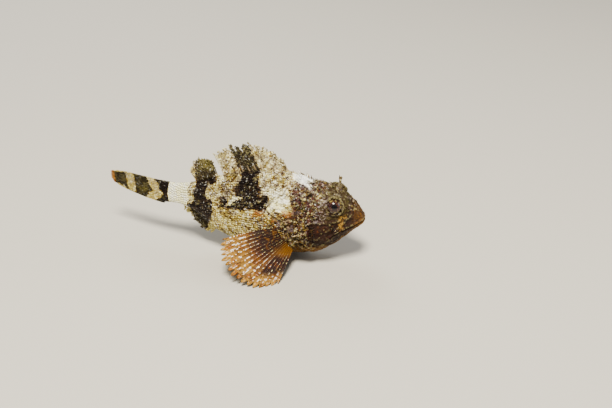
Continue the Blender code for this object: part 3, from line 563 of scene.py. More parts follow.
hide = ball("skin", 1, segments=SKIN_SIDES, rings=SKIN_RINGS)
whole = corners(hide)
latitude = np.arccos(np.clip(whole[:, 2], -1, 1)) / math.pi
ring = np.clip((latitude * SKIN_RINGS - 1) / (SKIN_RINGS - 2), 0, 1)
span = BODY_LENGTH - BODY_FRONT
hide_along = BODY_FRONT + span * (ring**1.12 * 0.85 + ring * 0.15)
hide_points = skin_at(hide_along, np.arctan2(whole[:, 1], whole[:, 0]))
for pole, place in ((latitude < 1e-6, BODY_FRONT), (latitude > 1 - 1e-6, BODY_LENGTH)):
    hide_points[pole] = (place, 0, float(through(WIDEST, place)))
move_corners(hide, hide_points)
fused = [hide]
for hand in (1, -1):
    look = mirrored(EYE_LOOK, hand)
    bpy.ops.mesh.primitive_torus_add(
        major_segments=64,
        minor_segments=16,
        major_radius=math.sqrt(EYE_RADIUS**2 - LID_OUT**2) + LID_THICK * 0.5,
        minor_radius=LID_THICK,
        location=eye_centre(hand) + look * LID_OUT,
        rotation=look.to_track_quat("Z", "Y").to_euler(),
    )
    fused.append(added("lids"))
    bony = [
        mirrored(skin_at_height(a, u) - Vector((0, r * 0.45, 0)), hand) for a, u, r in MAXILLA
    ]
    fused.append(tube("maxilla", bony, [r for _, _, r in MAXILLA], 12))
    for stand_out, line in RIDGES:
        share = np.linspace(0, len(line) - 1, 3 * len(line))
        stations, heights = (np.interp(share, range(len(line)), values) for values in zip(*line))
        crest = [mirrored(skin_at_height(a, u), hand) for a, u in zip(stations, heights)]
        slim = np.sin(np.linspace(0.25, math.pi - 0.25, len(crest))) ** 0.5
        fused.append(tube("ridge", crest, stand_out * slim, 10))
    for a, degrees, radius, height in NOSTRILS:
        foot, out, _ = skin_frame_on(hand, a, degrees)
        fused.append(cone("nostril", foot - out, foot + out * height, radius, 16, 0.75))
    for sizes in SKULL_SPINES:
        fused.append(spine("sheath", hand, sizes, SHEATH))
    brow = eye_centre(hand) + mirrored(BROW_FROM_EYE, hand)
    fused.append(ball("brow", BROW_RADIUS, brow, 24, 16))
for offset in (LIP_APART, -LIP_APART):
    half = []
    for k in range(LIP_STEPS + 1):
        a = LIP_REACH * (1 - k / LIP_STEPS) ** 1.4
        half.append(skin_at_height(a + 0.05, float(through(MOUTH_LINE, a)) + offset))
    nose = Vector((BODY_FRONT + 0.3, 0, float(through(MOUTH_LINE, 0)) + offset))
    mouth_edge = half + [nose] + [mirrored(p, -1) for p in reversed(half)]
    last = len(mouth_edge) - 1
    sizes = [LIP_RADIUS * min(1, 0.5 + 0.15 * min(k, last - k)) for k in range(last + 1)]
    fused.append(tube("lip", mouth_edge, sizes, 12))
skin = joined("skin", fused)
with_modifier(skin, "REMESH", mode="VOXEL", voxel_size=SKIN_VOXEL)
with_modifier(skin, "SMOOTH", factor=0.5, iterations=2)

# The bare hide of the head is warty: it is pushed in and out in lumps of three sizes.
LUMPS = ((0.30, 0.34), (0.75, 0.24), (1.7, 0.10))  # how many to a millimetre, and how high
straight = corners(skin)
outward = corners(skin, "normal")
lumpy = np.array([
    sum(height * noise.noise(Vector(point) * per_mm) for per_mm, height in LUMPS)
    for point in straight
])
bareness = 0.35 + 0.65 * smooth(line_distance(straight[:, 0], straight[:, 2], GILL_LINE), 2, -4)
lumpy = np.minimum(lumpy * bareness, 0.2) * smooth(straight[:, 0], -0.5, 2.0)
move_corners(skin, straight + outward * lumpy[:, None])

# How far each corner stands over the hide round it, for the finish to paint shade into the hollows
# and highlight onto the crests by.
ROUNDS_OUT = 9
edges = np.empty(len(skin.data.edges) * 2, int)
skin.data.edges.foreach_get("vertices", edges)
ends = edges.reshape(-1, 2)
lumpy_points = corners(skin)
level = lumpy_points
neighbours = np.bincount(ends.ravel(), minlength=len(level))[:, None]
for _ in range(ROUNDS_OUT):
    total = np.zeros_like(level)
    for near, far in (ends.T, ends.T[::-1]):
        for axis in range(3):
            total[:, axis] += np.bincount(near, level[far, axis], len(level))
    level = total / neighbours
standing = ((lumpy_points - level) * outward).sum(axis=1)
keep(skin, "standing", np.repeat(standing[:, None], 3, axis=1))

# The mouth's slit is a thin curved sheet, and the sockets and nostrils are plain hollows.
MOUTH_WIDTH = 0.5
SLIT_REACH = 30
SOCKET_GAP = 0.08
slit_along = np.linspace(-4.0, 13.6, 30)
slit_up = through(MOUTH_LINE, slit_along)
bpy.ops.mesh.primitive_grid_add(x_subdivisions=len(slit_along) - 1, y_subdivisions=1, size=2)
slit = added("slit")
flat = corners(slit)
column = np.round((flat[:, 0] + 1) / 2 * (len(slit_along) - 1)).astype(int)
slit_side = flat[:, 1] * SLIT_REACH
move_corners(slit, np.stack([slit_along[column], slit_side, slit_up[column]], -1))
with_modifier(slit, "SOLIDIFY", thickness=MOUTH_WIDTH, offset=0)
hollows = [slit]
for hand in (1, -1):
    hollows.append(ball("socket", EYE_RADIUS + SOCKET_GAP, eye_centre(hand)))
    for a, degrees, radius, _ in NOSTRILS:
        foot, out, _ = skin_frame_on(hand, a, degrees)
        hollows.append(cone("hole", foot - out * 0.6, foot + out * 2, radius * 0.55, 16, 1.0))
for hollow in hollows:
    choose(hollow)
    bpy.ops.object.mode_set(mode="EDIT")
    bpy.ops.mesh.select_all(action="SELECT")
    bpy.ops.mesh.normals_make_consistent(inside=False)
    bpy.ops.object.mode_set(mode="OBJECT")
    with_modifier(skin, "BOOLEAN", operation="DIFFERENCE", solver="MANIFOLD", object=hollow)
    bpy.data.objects.remove(hollow)

# The coat's colours from its palest tone, 0, to its darkest, 1.
WARM_COAT = (
    (0.00, (0.97, 0.94, 0.56, 1)), (0.14, (0.84, 0.76, 0.28, 1)), (0.30, (0.48, 0.38, 0.085, 1)),
    (0.46, (0.21, 0.125, 0.018, 1)), (0.60, (0.078, 0.035, 0.008, 1)),
    (0.76, (0.016, 0.007, 0.003, 1)), (1.00, (0.003, 0.002, 0.001, 1)),
)
COOL_COAT = (
    (0.00, (0.97, 0.97, 0.82, 1)), (0.16, (0.72, 0.66, 0.36, 1)), (0.32, (0.36, 0.29, 0.16, 1)),
    (0.48, (0.125, 0.088, 0.062, 1)), (0.62, (0.045, 0.026, 0.020, 1)),
    (0.78, (0.011, 0.006, 0.006, 1)), (1.00, (0.003, 0.002, 0.002, 1)),
)
CREAM = (0.82, 0.73, 0.32, 1)
WHITE = (0.97, 0.97, 0.92, 1)
NAPE_WHITE = (0.97, 0.985, 0.985, 1)
PINK_CREAM = (0.66, 0.42, 0.30, 1)
PLUM_GREY = (0.17, 0.12, 0.14, 1)
LILAC = (0.47, 0.38, 0.40, 1)
RUST = (0.29, 0.088, 0.006, 1)
GOLD = (0.38, 0.20, 0.028, 1)
OLIVE = (0.17, 0.14, 0.030, 1)
DARK_GOLD = (0.12, 0.050, 0.005, 1)
DARK_BROWN = (0.022, 0.010, 0.006, 1)
GREY_BROWN = (0.13, 0.095, 0.065, 1)
MAROON = (0.06, 0.012, 0.010, 1)


def markings(finish):
    """The fish's coat: dark mottled head, pale mottled flank, and dark bars down to the belly."""
    fish = finish.place("fish")
    ragged = finish.shaken(finish.shaken(fish, 0.22, 6.0), 0.9, 2.6)
    a, side, h = finish.parts_of(ragged)
    along, _, up = finish.parts_of(fish)
    off_midline = side.maths("ABSOLUTE")
    mottle = finish.noise(fish, 0.42, 4, 0.6)
    fleck = finish.noise(fish, 1.3, 3, 0.6)
    grain = finish.noise(fish, 3.2, 2, 0.6)
    grit = finish.shaken(finish.shaken(fish, 1.3, 1.2), 4.0, 0.5)
    patchy, hue_of_patch, bright_patch = finish.parts_of(finish.cells(grit, 1.0, 1))
    small, _, bright_speck = finish.parts_of(finish.cells(grit, 2.2, 1))
    wormy = finish.noise(finish.shaken(fish, 0.7, 2.4), 0.95, 5, 0.68)

    def blot(front, rear, low, high, soft):
        return a.within(front, rear, soft) * h.within(low, high, soft)

    def cloudy(scale, low, high):
        return finish.noise(fish, scale, 3, 0.6).ramped(low, high)

    def darkest(*shares):
        most = shares[0]
        for share in shares[1:]:
            most = most.maths("MAXIMUM", share)
        return most

    # Behind the nape each bar leans back as the fin's rays do.
    lean = a - (h - 17).maths("MAXIMUM", 0) * 0.42
    head = (a + h * 0.5).ramped(40, 33)
    saddle = lean.within(44.5, 54.5, 1.0) * h.ramped(4, 6)
    side_patch = darkest(blot(41, 55, 4.5, 11, 1.0), blot(50, 62, 3.0, 7.5, 1.0))
    # The second bar is narrow on the stalk, and broad again over the anal fin.
    below = h.maths("MINIMUM", 0)
    low = (h - 1).maths("MINIMUM", 0)
    band = (lean + below * 0.45).ramped(64.6, 66.0) * (lean + low * 1.3).ramped(76.6, 75.2)
    band_rim = lean.within(62.4, 64.2, 0.5) * h.ramped(4, 8)
    band_notch = blot(63, 68.8, 4.8, 10.2, 0.8)
    brown_flank = blot(36, 46, -7.5, 3.0, 2.0)
    from_middle = (h - 0.6).maths("ABSOLUTE")
    bowed = a - from_middle * 0.8
    tail_a = along.ramped(88.0, 89.2) * bowed.ramped(92.9, 91.7)
    tail_b = bowed.ramped(96.9, 98.1) * a.ramped(108.8, 107.4)
    tail_c = a.within(112.0, 120.0, 0.8) * from_middle.ramped(4.6, 3.6)
    cheek_shade = darkest(blot(10, 21.5, -11, 3.2, 3.4), blot(-1.0, 13, -7.0, 5.0, 1.8) * 0.8)
    squared = (a - EYE_ALONG) * (a - EYE_ALONG) + (h - EYE_UP) * (h - EYE_UP)
    from_eye = squared.maths("SQRT")
    round_eye = from_eye.ramped(8.0, 5.0)
    before_eye = blot(4.6, 9.0, 1.5, 9.0, 0.8)
    rear_flank = blot(55, 63.5, -2, 20, 1.5)

    tone = head * 0.36 + 0.32
    tone = tone + cheek_shade * 0.74 + round_eye * 0.20 + before_eye * 0.34
    tone = tone + brown_flank * 0.15 + rear_flank * 0.13
    dark_bar = darkest(saddle, side_patch, band * (1 - band_notch))
    tail_bar = darkest(tail_a, tail_b, tail_c)
    tone = darkest(tone, dark_bar * 0.88, tail_bar * 0.92)
    pale_nape = (a + off_midline * 0.5).within(24.2, 31.0, 1.0)
    pale_nape = pale_nape * off_midline.ramped(5.6, 3.6) * h.ramped(9, 12)
    pale_flank = blot(31, 39.5, 5.0, 13.0, 1.5)
    streak = (h + (a - 55.5) * 0.65).within(6.4, 8.6, 0.5) * a.within(52.5, 59.0, 0.7)
    stalk = a.within(78.4, 88.6, 0.9)
    snout_streak = (h + (a - 5.8) * 1.2).within(3.0, 7.6, 0.8) * a.within(4.8, 6.2, 0.5)
    snout_streak = snout_streak * off_midline.ramped(1.8, 3.2) * wormy.ramped(0.40, 0.52)
    belly = up.ramped(-12, -16) * along.ramped(30, 36)
    pale = darkest(pale_nape, streak, stalk * 0.8, snout_streak)
    tone = tone - pale * 0.80 - pale_flank * 0.36 - band_rim * 0.22 - belly * 0.1

    # Less of the speckle shows on the plain dark bars and on the white patches.
    plain = darkest(dark_bar * 0.55, tail_bar * 0.55, pale * 0.85, along.ramped(80, 96) * 0.6)
    lively = 1 - plain
    tone = tone + (patchy - 0.5) * lively * 0.16 + (small - 0.5) * lively * 0.20
    tone = tone + (mottle - 0.5) * lively * 1.05 + (wormy - 0.5) * lively * 1.7
    tone = tone + (fleck - 0.5) * 0.45
    warmth = finish.noise(fish, 0.2, 3, 0.6) + (hue_of_patch - 0.5) * 0.35 - up * 0.010
    cool, warm = (
        finish.add("ShaderNodeValToRGB", {"stops": stops}, [tone]) for stops in (COOL_COAT, WARM_COAT)
    )
    coat = finish.mix(warmth.ramped(0.33, 0.52), cool, warm)

    # Grey-brown clouds in the dark bars, bright grains on the head, and olive, gold and rust stains.
    cloud = finish.noise(fish, 0.5, 4, 0.65).ramped(0.50, 0.66) * dark_bar
    fin_top = blot(67.5, 74.5, 16.5, 24, 1.2) * wormy.ramped(0.38, 0.52)
    quiet = 1 - darkest(dark_bar * 0.6, tail_bar * 0.85, cheek_shade * 0.85, before_eye * 0.8)
    plum = cloudy(0.33, 0.54, 0.64) * head * up.ramped(-10, -4)
    red_spots = cloudy(0.46, 0.53, 0.60) * blot(15, 33, -6, 18, 2.0)
    sparkle = bright_patch.ramped(0.86, 0.92) * fleck.ramped(0.40, 0.54) * quiet
    sparkle_colour = finish.mix(hue_of_patch.ramped(0.1, 0.5), PINK_CREAM, CREAM)
    stain = finish.noise(fish, 0.5, 3, 0.6)
    olive_share = lively * (1 - cheek_shade * 0.85) * (1 - head * 0.35)
    shaded = darkest(cheek_shade, before_eye, round_eye * 0.7)
    lid = from_eye.within(3.3, 5.4, 0.6)
    cheek_rust = cheek_shade * stain.ramped(0.54, 0.62) * wormy.ramped(0.48, 0.60)
    throat = up.ramped(-10.5, -14.5) * along.ramped(36, 31)
    chin = (up + along * 0.85).ramped(0.0, -2.0) * along.ramped(20, 14)
    snout = along.ramped(6.0, 1.5) * (1 - snout_streak)
    spots = darkest(blot(29.5, 34, 3.4, 6.0, 0.7), blot(43, 48, 2.0, 4.4, 0.7))
    jaw_patch = blot(7.4, 10.0, -2.8, 3.2, 0.7) * wormy.ramped(0.40, 0.54)
    stubble = wormy.ramped(0.36, 0.56)
    strands = blot(14.5, 19.5, 1.5, 10.5, 1.2) * wormy.ramped(0.52, 0.60)
    black_spot = blot(28.6, 30.8, 3.0, 5.8, 0.6)
    flank_spots = finish.noise(fish, 0.8, 3, 0.6)
    tail_gaps = along.ramped(92, 96) * (1 - tail_bar) + tail_b * blot(100.5, 104.5, -1.5, 2, 0.8)
    tail_rim = along.within(119.2, 121.2, 0.5) * from_middle.ramped(5.0, 4.0)
    coat = finish.stained(coat, (
        (cloud * wormy.ramped(0.40, 0.58) * 0.6, GREY_BROWN),
        (fin_top * 0.6, OLIVE),
        (plum * (1 - cheek_shade) * 0.5, PLUM_GREY),
        (red_spots * 0.75, MAROON),
        (sparkle * head * 0.6, sparkle_colour),
        (bright_speck.ramped(0.94, 0.97) * quiet * (1 - head * 0.5) * 0.75, WHITE),
        (cheek_shade * cloudy(0.7, 0.46, 0.58) * 0.4, MAROON),
        (stain.ramped(0.56, 0.68) * olive_share * 0.65, OLIVE),
        (shaded * wormy.ramped(0.68, 0.48) * 0.85, DARK_BROWN),
        (lid * wormy.ramped(0.66, 0.42) * 0.7, DARK_BROWN),
        (cheek_rust * 0.3, RUST),
        (darkest(throat, chin) * (0.55 + stubble * 0.4), DARK_GOLD),
        (snout * stubble * 0.55, DARK_GOLD),
        (round_eye * from_eye.ramped(3.0, 4.0) * stubble * 0.2, OLIVE),
        (strands * 0.6, LILAC),
        (spots * mottle.ramped(0.3, 0.55) * 0.75, RUST),
        (black_spot * 0.85, DARK_BROWN),
        (brown_flank * flank_spots.ramped(0.54, 0.62) * 0.6, RUST),
        (brown_flank * flank_spots.ramped(0.42, 0.36) * 0.8, DARK_BROWN),
        (jaw_patch * 0.8, GOLD),
        (pale_nape * wormy.ramped(0.68, 0.56) * 0.95, NAPE_WHITE),
        (tail_gaps * wormy.ramped(0.36, 0.60) * 0.40, OLIVE),
        (tail_rim * 0.85, RUST),
        (along.ramped(121.0, 121.8), WHITE),
    ))
    return coat, fish, grain, fleck


skin_finish = Finish("scorpionfish_skin", 0.55)
coat, fish, grain, fleck = markings(skin_finish)
standing = skin_finish.parts_of(skin_finish.place("standing"))[0]
# Painted shade: the hide is darkened in its hollows, where it sinks below the hide round it.
coat = skin_finish.mix(standing.ramped(0.0, -0.16) * 0.75, coat, DARK_BROWN)
# Painted highlight: the hide's crests, where it stands over the hide round it, are lightened with
# cream flecks.
crest_highlight = standing.ramped(0.07, 0.22) * standing.ramped(0.6, 0.3) * fleck.ramped(0.42, 0.56)
coat = skin_finish.mix(crest_highlight * 0.16, coat, CREAM)
skin_finish.feed("Base Color", coat)
pores = skin_finish.cells(fish, 1.5)
skin_finish.bump(pores * 0.6 + grain * 0.6 + fleck * 0.8, 0.00035)
posed(skin, skin_finish, "dark_skin", "head", "lower_jaw", "trunk", "tail_stalk")

# The eyes: glossy balls under a clear cornea. The pupil is black, and the iris is dark bronze
# with lines that run out from it, so that the eye is lost in the head's markings.

PUPIL_RADIUS = 1.15
DARK_IRIS_RADIUS = 2.5
CORNEA_BULGE = 0.04
IRIS_OLIVE = (0.20, 0.15, 0.04, 1)
IRIS_DARK = (0.012, 0.005, 0.006, 1)
IRIS_RED = (0.20, 0.07, 0.04, 1)
RIM_BRONZE = (0.30, 0.14, 0.05, 1)
PUPIL_BLACK = (0.003, 0.003, 0.004, 1)

eye_finish = Finish("eye", 0.18, 0.25)
coat = markings(eye_finish)[0]
gaze = eye_finish.place("gaze")
across, along_lid, _ = eye_finish.parts_of(gaze)
squared = across * across + along_lid * along_lid * 1.1
from_axis = squared.maths("SQRT")
spoke_phase = across.maths("ARCTAN2", along_lid) * 9 + eye_finish.noise(gaze, 0.7, 3) * 9
wavy = eye_finish.noise(gaze, 1.2, 3) - 0.5
spokes = spoke_phase.maths("SINE") + wavy * 3
spoke_colour = eye_finish.mix(eye_finish.noise(gaze, 0.6, 2).ramped(0.42, 0.58), coat, IRIS_OLIVE)
iris = eye_finish.mix(spokes.ramped(-0.3, 0.9) * 0.85, DARK_BROWN, spoke_colour)
red_flecks = eye_finish.noise(gaze, 2.0, 4, 0.7).ramped(0.52, 0.62)
dark_share = (from_axis + wavy * 1.3).ramped(DARK_IRIS_RADIUS + 0.2, DARK_IRIS_RADIUS - 0.2)
pupil_rim = from_axis.within(PUPIL_RADIUS, PUPIL_RADIUS + 0.06, 0.05) * red_flecks
eye_finish.feed("Base Color", eye_finish.stained(iris, (
    (dark_share, eye_finish.mix(red_flecks * 0.75, IRIS_DARK, IRIS_RED)),
    (pupil_rim * 0.8, RIM_BRONZE),
    (from_axis.ramped(PUPIL_RADIUS + 0.04, PUPIL_RADIUS - 0.04), PUPIL_BLACK),
)))
eye_finish.shader.inputs["Coat Weight"].default_value = 0.35
eye_finish.shader.inputs["Coat Roughness"].default_value = 0.03
for hand, name in ((1, "left"), (-1, "right")):
    eye = ball("eyeball_" + name, 1, rings=48)
    globe = corners(eye)
    bulge = 1 - CORNEA_BULGE / 2 + CORNEA_BULGE * smooth(globe[:, 2], 0.6, 1)
    local = globe * (EYE_RADIUS * bulge)[:, None]
    turn_to = np.array(mirrored(EYE_LOOK, hand).to_track_quat("Z", "Y").to_matrix())
    move_corners(eye, local @ turn_to.T + np.array(eye_centre(hand)))
    keep(eye, "gaze", local)
    posed(eye, eye_finish, "eye", "eye_" + name)

# The skull's spines: short thorns of bare bone that come out of sheaths of skin and lean back.
# They grow from the bones of the brow, nape, cheek and gill cover, on both sides alike.

BONE_DARK = (0.07, 0.035, 0.02, 1)
BONE_PALE = (0.50, 0.38, 0.22, 1)

bone_finish = Finish("bony_spines", 0.4)
bone_fish = bone_finish.place("fish")
bone_clouds = bone_finish.noise(bone_fish, 0.9, 3).ramped(0.4, 0.6)
bone_finish.feed("Base Color", bone_finish.mix(bone_clouds, BONE_DARK, BONE_PALE))
bone_finish.bump(bone_finish.noise(bone_fish, 4.0, 2), 0.0001)
thorns = [spine("thorn", hand, sizes, THORN) for hand in (1, -1) for sizes in SKULL_SPINES]
posed(joined("skull_spines", thorns), bone_finish, "dark_skin")

# The feelers over the eyes: flat stems of soft skin with a fringe of short branches. They
# grow from the brows and stand up and a little forward.

TENTACLE_FROM_EYE = Vector((-1.4, -1.9, 5.0))
TENTACLE_WAY = Vector((-0.15, 0.18, 1.0)).normalized()
TENTACLE_HEIGHT = 4.8
TENTACLE_SWEEP = 0.6
TENTACLE_STEPS = 12
TENTACLE_VOXEL = 0.14
# The branches: how far up the stem, how long for the stem's height, and which way.
TENTACLE_TWIGS = (
    (0.25, 0.34, 1), (0.35, 0.5, 1), (0.45, 0.34, -1), (0.52, 0.45, -1), (0.60, 0.35, 1),
    (0.66, 0.35, 1), (0.74, 0.3, -1), (0.8, 0.25, -1), (0.88, 0.25, 1),
)

flap_finish = Finish("skin_flaps", 0.6)
coat, _, grain, fleck = markings(flap_finish)
flap_finish.feed("Base Color", flap_finish.mix(fleck.ramped(0.46, 0.62) * 0.22, coat, CREAM))
flap_finish.bump(grain, 0.0002)
for hand, name in ((1, "left"), (-1, "right")):
    foot = eye_centre(hand) + mirrored(TENTACLE_FROM_EYE, hand)
    way = mirrored(TENTACLE_WAY, hand)
    back = Vector((1, 0, 0))

    def stem_at(t):
        return foot + way * TENTACLE_HEIGHT * t * (1 - 0.25 * t) + back * TENTACLE_SWEEP * t**2

    shares = [k / TENTACLE_STEPS for k in range(TENTACLE_STEPS + 1)]
    line = [foot - way * 0.9] + [stem_at(t) for t in shares]
    twigs = [tube("stem", line, [0.7] + [0.72 * (1 - 0.72 * t) for t in shares])]
    for t, share, turn in TENTACLE_TWIGS:
        root = stem_at(t)
        out = (way * 0.9 + back * 0.9 * turn + Vector((0, 0.35 * turn * hand, 0))).normalized()
        out = out * TENTACLE_HEIGHT * share * 0.6
        twig = [root, root + out * 0.55, root + out + way * 0.5]
        twigs.append(tube("twig", twig, [0.36, 0.27, 0.1], 8))
    feeler = joined("feeler_" + name, twigs)
    with_modifier(feeler, "REMESH", mode="VOXEL", voxel_size=TENTACLE_VOXEL)
    with_modifier(feeler, "SMOOTH", factor=0.5, iterations=2)
    posed(feeler, flap_finish, "dark_skin", "tentacle_" + name)

# The scales: small thin plates set in rows behind the gill covers and on the cheeks and nape,
# each lapping over the next and a little proud at its rear edge.

SCALE_LENGTH = 1.35
SCALE_WIDTH = 1.25
SCALE_THICK = 0.1
SCALE_RISE = 0.16
SCALE_LIFT = 0.02
SCALE_ROWS = np.arange(17.5, 93.4, 0.92)
SCALE_STEP = 1.12
SCALE_FROM_GILL = 1.6
SCALE_FROM_EYE = 6.2
SCALE_CORNERS = (
    (-0.5, 0.0), (-0.3, 0.36), (0.12, 0.5), (0.42, 0.3), (0.5, 0.0), (0.42, -0.3), (0.12, -0.5),
    (-0.3, -0.36),
)
CHART_PATCH = 0.003  # how wide each plate's patch is on the chart


def charted(name, points, faces, home, shape):
    """A mesh of many like parts, each with its own small patch of the chart, at its home."""
    mesh = bpy.data.meshes.new(name)
    mesh.from_pydata(points.reshape(-1, 3).tolist(), [], faces)
    chart = mesh.uv_layers.new(name="OFBake")
    loops = np.empty(len(mesh.loops), int)
    mesh.loops.foreach_get("vertex_index", loops)
    spot = (home[:, None] + shape[None]).reshape(-1, 2)
    chart.data.foreach_set("uv", spot[loops].ravel())
    return new_object(name, mesh)


def plates_on_skin(name, along, angle, size, twist):
    """Thin closed plates on the hide, one to each place, on one mesh with its chart."""
    point, normal, back = skin_frame(along, angle)
    across = np.cross(normal, back)
    c, s = np.cos(twist)[:, None], np.sin(twist)[:, None]
    back, across = back * c + across * s, across * c - back * s
    rim = np.array(SCALE_CORNERS)
    count = len(rim)
    shape = np.concatenate([rim, [(0, 0), (0, 0)]])
    height = SCALE_RISE * (shape[:, 0] + 0.5)
    height[count] += SCALE_THICK * 0.7
    height[count + 1] -= SCALE_THICK * 0.7
    place = (
        point[:, None]
        + back[:, None] * (shape[:, 0] * (SCALE_LENGTH * size)[:, None])[..., None]
        + across[:, None] * (shape[:, 1] * (SCALE_WIDTH * size)[:, None])[..., None]
        + normal[:, None] * (height[None] + SCALE_LIFT)[..., None]
    )
    faces = []
    for k in range(count):
        j = (k + 1) % count
        faces += [(k, j, count), (j, k, count + 1)]
    every = np.array(faces)[None] + (count + 2) * np.arange(len(along))[:, None, None]
    home = np.stack([along / 100 + 0.01, (angle / (2 * math.pi)) % 1 * 0.96 + 0.02], -1)
    return charted(name, place, every.reshape(-1, 3).tolist(), home, shape * CHART_PATCH)


rng = np.random.default_rng(5)
scale_places = []
turns = np.linspace(0, 2 * math.pi, 721)
for row, a in enumerate(SCALE_ROWS):
    outline = skin_at(np.full(len(turns), a), turns)
    steps = np.linalg.norm(np.diff(outline, axis=0), axis=1)
    reach = np.concatenate([[0], np.cumsum(steps)])
    number = int(reach[-1] / SCALE_STEP)
    marks = (np.arange(number) + 0.5 * (row % 2)) * reach[-1] / number
    for turn in np.interp(marks, reach, turns):
        scale_places.append((a + rng.uniform(-0.08, 0.08), turn + rng.uniform(-0.01, 0.01)))
places = np.array(scale_places)
on_skin = skin_at(places[:, 0], places[:, 1])
behind_gill = line_distance(on_skin[:, 0], on_skin[:, 2], GILL_LINE)
on_cheek = (on_skin[:, 0] > 19.5) & (on_skin[:, 2] > -14) & (behind_gill < -0.9)
on_cheek &= far_from_eye(on_skin) > SCALE_FROM_EYE
wanted = (behind_gill > SCALE_FROM_GILL) | on_cheek
places = places[wanted]
size = np.where(behind_gill[wanted] > 0, 1.0, 0.72) * rng.uniform(0.86, 1.12, len(places))
size *= 1 - 0.25 * smooth(places[:, 0], 75, 94)
twist = rng.uniform(-0.12, 0.12, len(places))
scales = plates_on_skin("scales", places[:, 0], places[:, 1], size, twist)
scale_finish = Finish("scales", 0.45)
coat, _, grain, _ = markings(scale_finish)
scale_finish.feed("Base Color", coat)
scale_finish.bump(grain, 0.00015)
posed(scales, scale_finish, "pale_skin")

# The skin flaps: small leaves of soft skin on the head, the back and the flank's side line,
# pale at their tips, that break up the fish's outline.

FLAP_SECTIONS = 5


def flaps(name, feet, normals, backs, lengths, widths, leans):
    """Small tapered leaves, each a closed flattened tube that curls back from its foot."""
    corners_each, faces_each = [], []
    for k in range(FLAP_SECTIONS):
        for side_step, thick_step in ((-1, 0), (0, 1), (1, 0), (0, -1)):
            corners_each.append((k / (FLAP_SECTIONS - 1), side_step, thick_step))
    for k in range(FLAP_SECTIONS - 1):
        for j in range(4):
            i = (j + 1) % 4
            faces_each.append((4 * k + j, 4 * k + 4 + j, 4 * k + 4 + i, 4 * k + i))
    faces_each.append((0, 1, 2, 3))
    last = 4 * FLAP_SECTIONS
    faces_each.append((last - 1, last - 2, last - 3, last - 4))
    form = np.array(corners_each, float)
    t = form[:, 0]
    spread = np.where(t < 0.99, 0.55 + 0.45 * np.sin(math.pi * np.minimum(t * 1.1, 1)), 0.25)
    sides = np.cross(normals, backs)
    out = normals * np.cos(leans)[:, None] + backs * np.sin(leans)[:, None]
    place = (
        feet[:, None]
        + out[:, None] * (t[None] * lengths[:, None])[..., None]
        + backs[:, None] * (0.35 * t[None] ** 2 * lengths[:, None])[..., None]
        + sides[:, None] * (form[:, 1] * spread * widths[:, None] / 2)[..., None]
        + np.cross(sides, out)[:, None] * (form[:, 2] * 0.09 * spread)[None, :, None]
    )
    every = []
    for k in range(len(feet)):
        every += [tuple(v + k * len(form) for v in face) for face in faces_each]
    home_up = feet[:, 2] / 90 + 0.45 + 0.2 * np.sign(feet[:, 1])
    home = np.stack([feet[:, 0] / 140 + 0.02, home_up], -1)
    return charted(name, place, every, home, form[:, :2] * CHART_PATCH * 0.5)


def tufts(name, feet, normals, backs, lengths, widths, leans, rng):
    """Flaps in tufts: each foot carries a few leaves that splay from one another."""
    feet, normals, backs, lengths, widths, leans = (
        np.repeat(values, LEAVES_IN_TUFT, axis=0)
        for values in (feet, normals, backs, lengths, widths, leans)
    )
    count = len(feet)
    turn = rng.uniform(-0.9, 0.9, count)[:, None]
    backs = backs * np.cos(turn) + np.cross(normals, backs) * np.sin(turn)
    lengths = lengths * rng.uniform(0.55, 1.0, count)
    leans = leans + rng.uniform(-0.35, 0.35, count)
    return flaps(name, feet, normals, backs, lengths, widths, leans)


# The large flaps of one side: distance back, turn up from the flank in degrees, length.
LARGE_FLAPS = (
    (5.4, 34, 1.6), (9.0, 4, 1.8), (13.4, 2, 2.2), (18.6, 22, 2.2), (17.6, 78, 2.0),
    (20.8, 76, 2.2), (23.6, 36, 2.2), (30.4, 30, 2.2), (27.6, 78, 2.0), (17.4, -14, 2.0),
    (19.6, -26, 1.8), (43.0, 30, 2.2), (48.5, 26, 2.0), (54.0, 22, 1.9), (60.0, 18, 1.7),
    (66.0, 14, 1.5), (72.0, 8, 1.4),
)
LARGE_FLAP_WIDTH = 1.3
LARGE_FLAP_SUNK = 0.3
LARGE_FLAP_LEAN = 0.7
large_along, large_turn, large_length = np.array(LARGE_FLAPS * 2).T
on_left = np.arange(len(large_turn)) < len(LARGE_FLAPS)
large_turn = np.radians(np.where(on_left, large_turn, 180 - large_turn))
foot, out, back = skin_frame(large_along, large_turn)
large_flaps = flaps(
    "large_flaps", foot - out * LARGE_FLAP_SUNK, out, back, large_length + LARGE_FLAP_SUNK,
    np.full(len(foot), LARGE_FLAP_WIDTH), np.full(len(foot), LARGE_FLAP_LEAN),
)
posed(large_flaps, flap_finish, "dark_skin")

# The small ones are thick on the head and back, and clear of the eyes and the mouth.
FLAP_DRAWS = 1300
FLAP_FROM_EYE = 5.4
FLAP_FROM_MOUTH = 1.6
LEAVES_IN_TUFT = 3
rng = np.random.default_rng(11)
flap_along = 2 + 58 * rng.random(FLAP_DRAWS) ** 0.9
flap_turn = np.radians(rng.uniform(-40, 220, FLAP_DRAWS))
foot, out, back = skin_frame(flap_along, flap_turn)
mouth_gap = np.abs(foot[:, 2] - through(MOUTH_LINE, foot[:, 0]))
clear = (mouth_gap > FLAP_FROM_MOUTH) | (foot[:, 0] > 14)
clear &= far_from_eye(foot) > FLAP_FROM_EYE
likely = np.where(foot[:, 0] < 36, 0.75, 0.35) * np.where(foot[:, 2] > 4, 1, 0.45)
clear &= rng.random(FLAP_DRAWS) < likely
foot, out, back = foot[clear], out[clear], back[clear]
long_ones = rng.random(len(foot)) ** 3
flap_widths = 0.45 + 0.5 * rng.random(len(foot))
flap_leans = rng.uniform(0.1, 1.1, len(foot))
flap_lengths = 0.7 + 1.5 * long_ones
skin_flaps = tufts(
    "skin_flaps", foot - out * 0.15, out, back, flap_lengths, flap_widths, flap_leans, rng
)
posed(skin_flaps, flap_finish, "dark_skin")

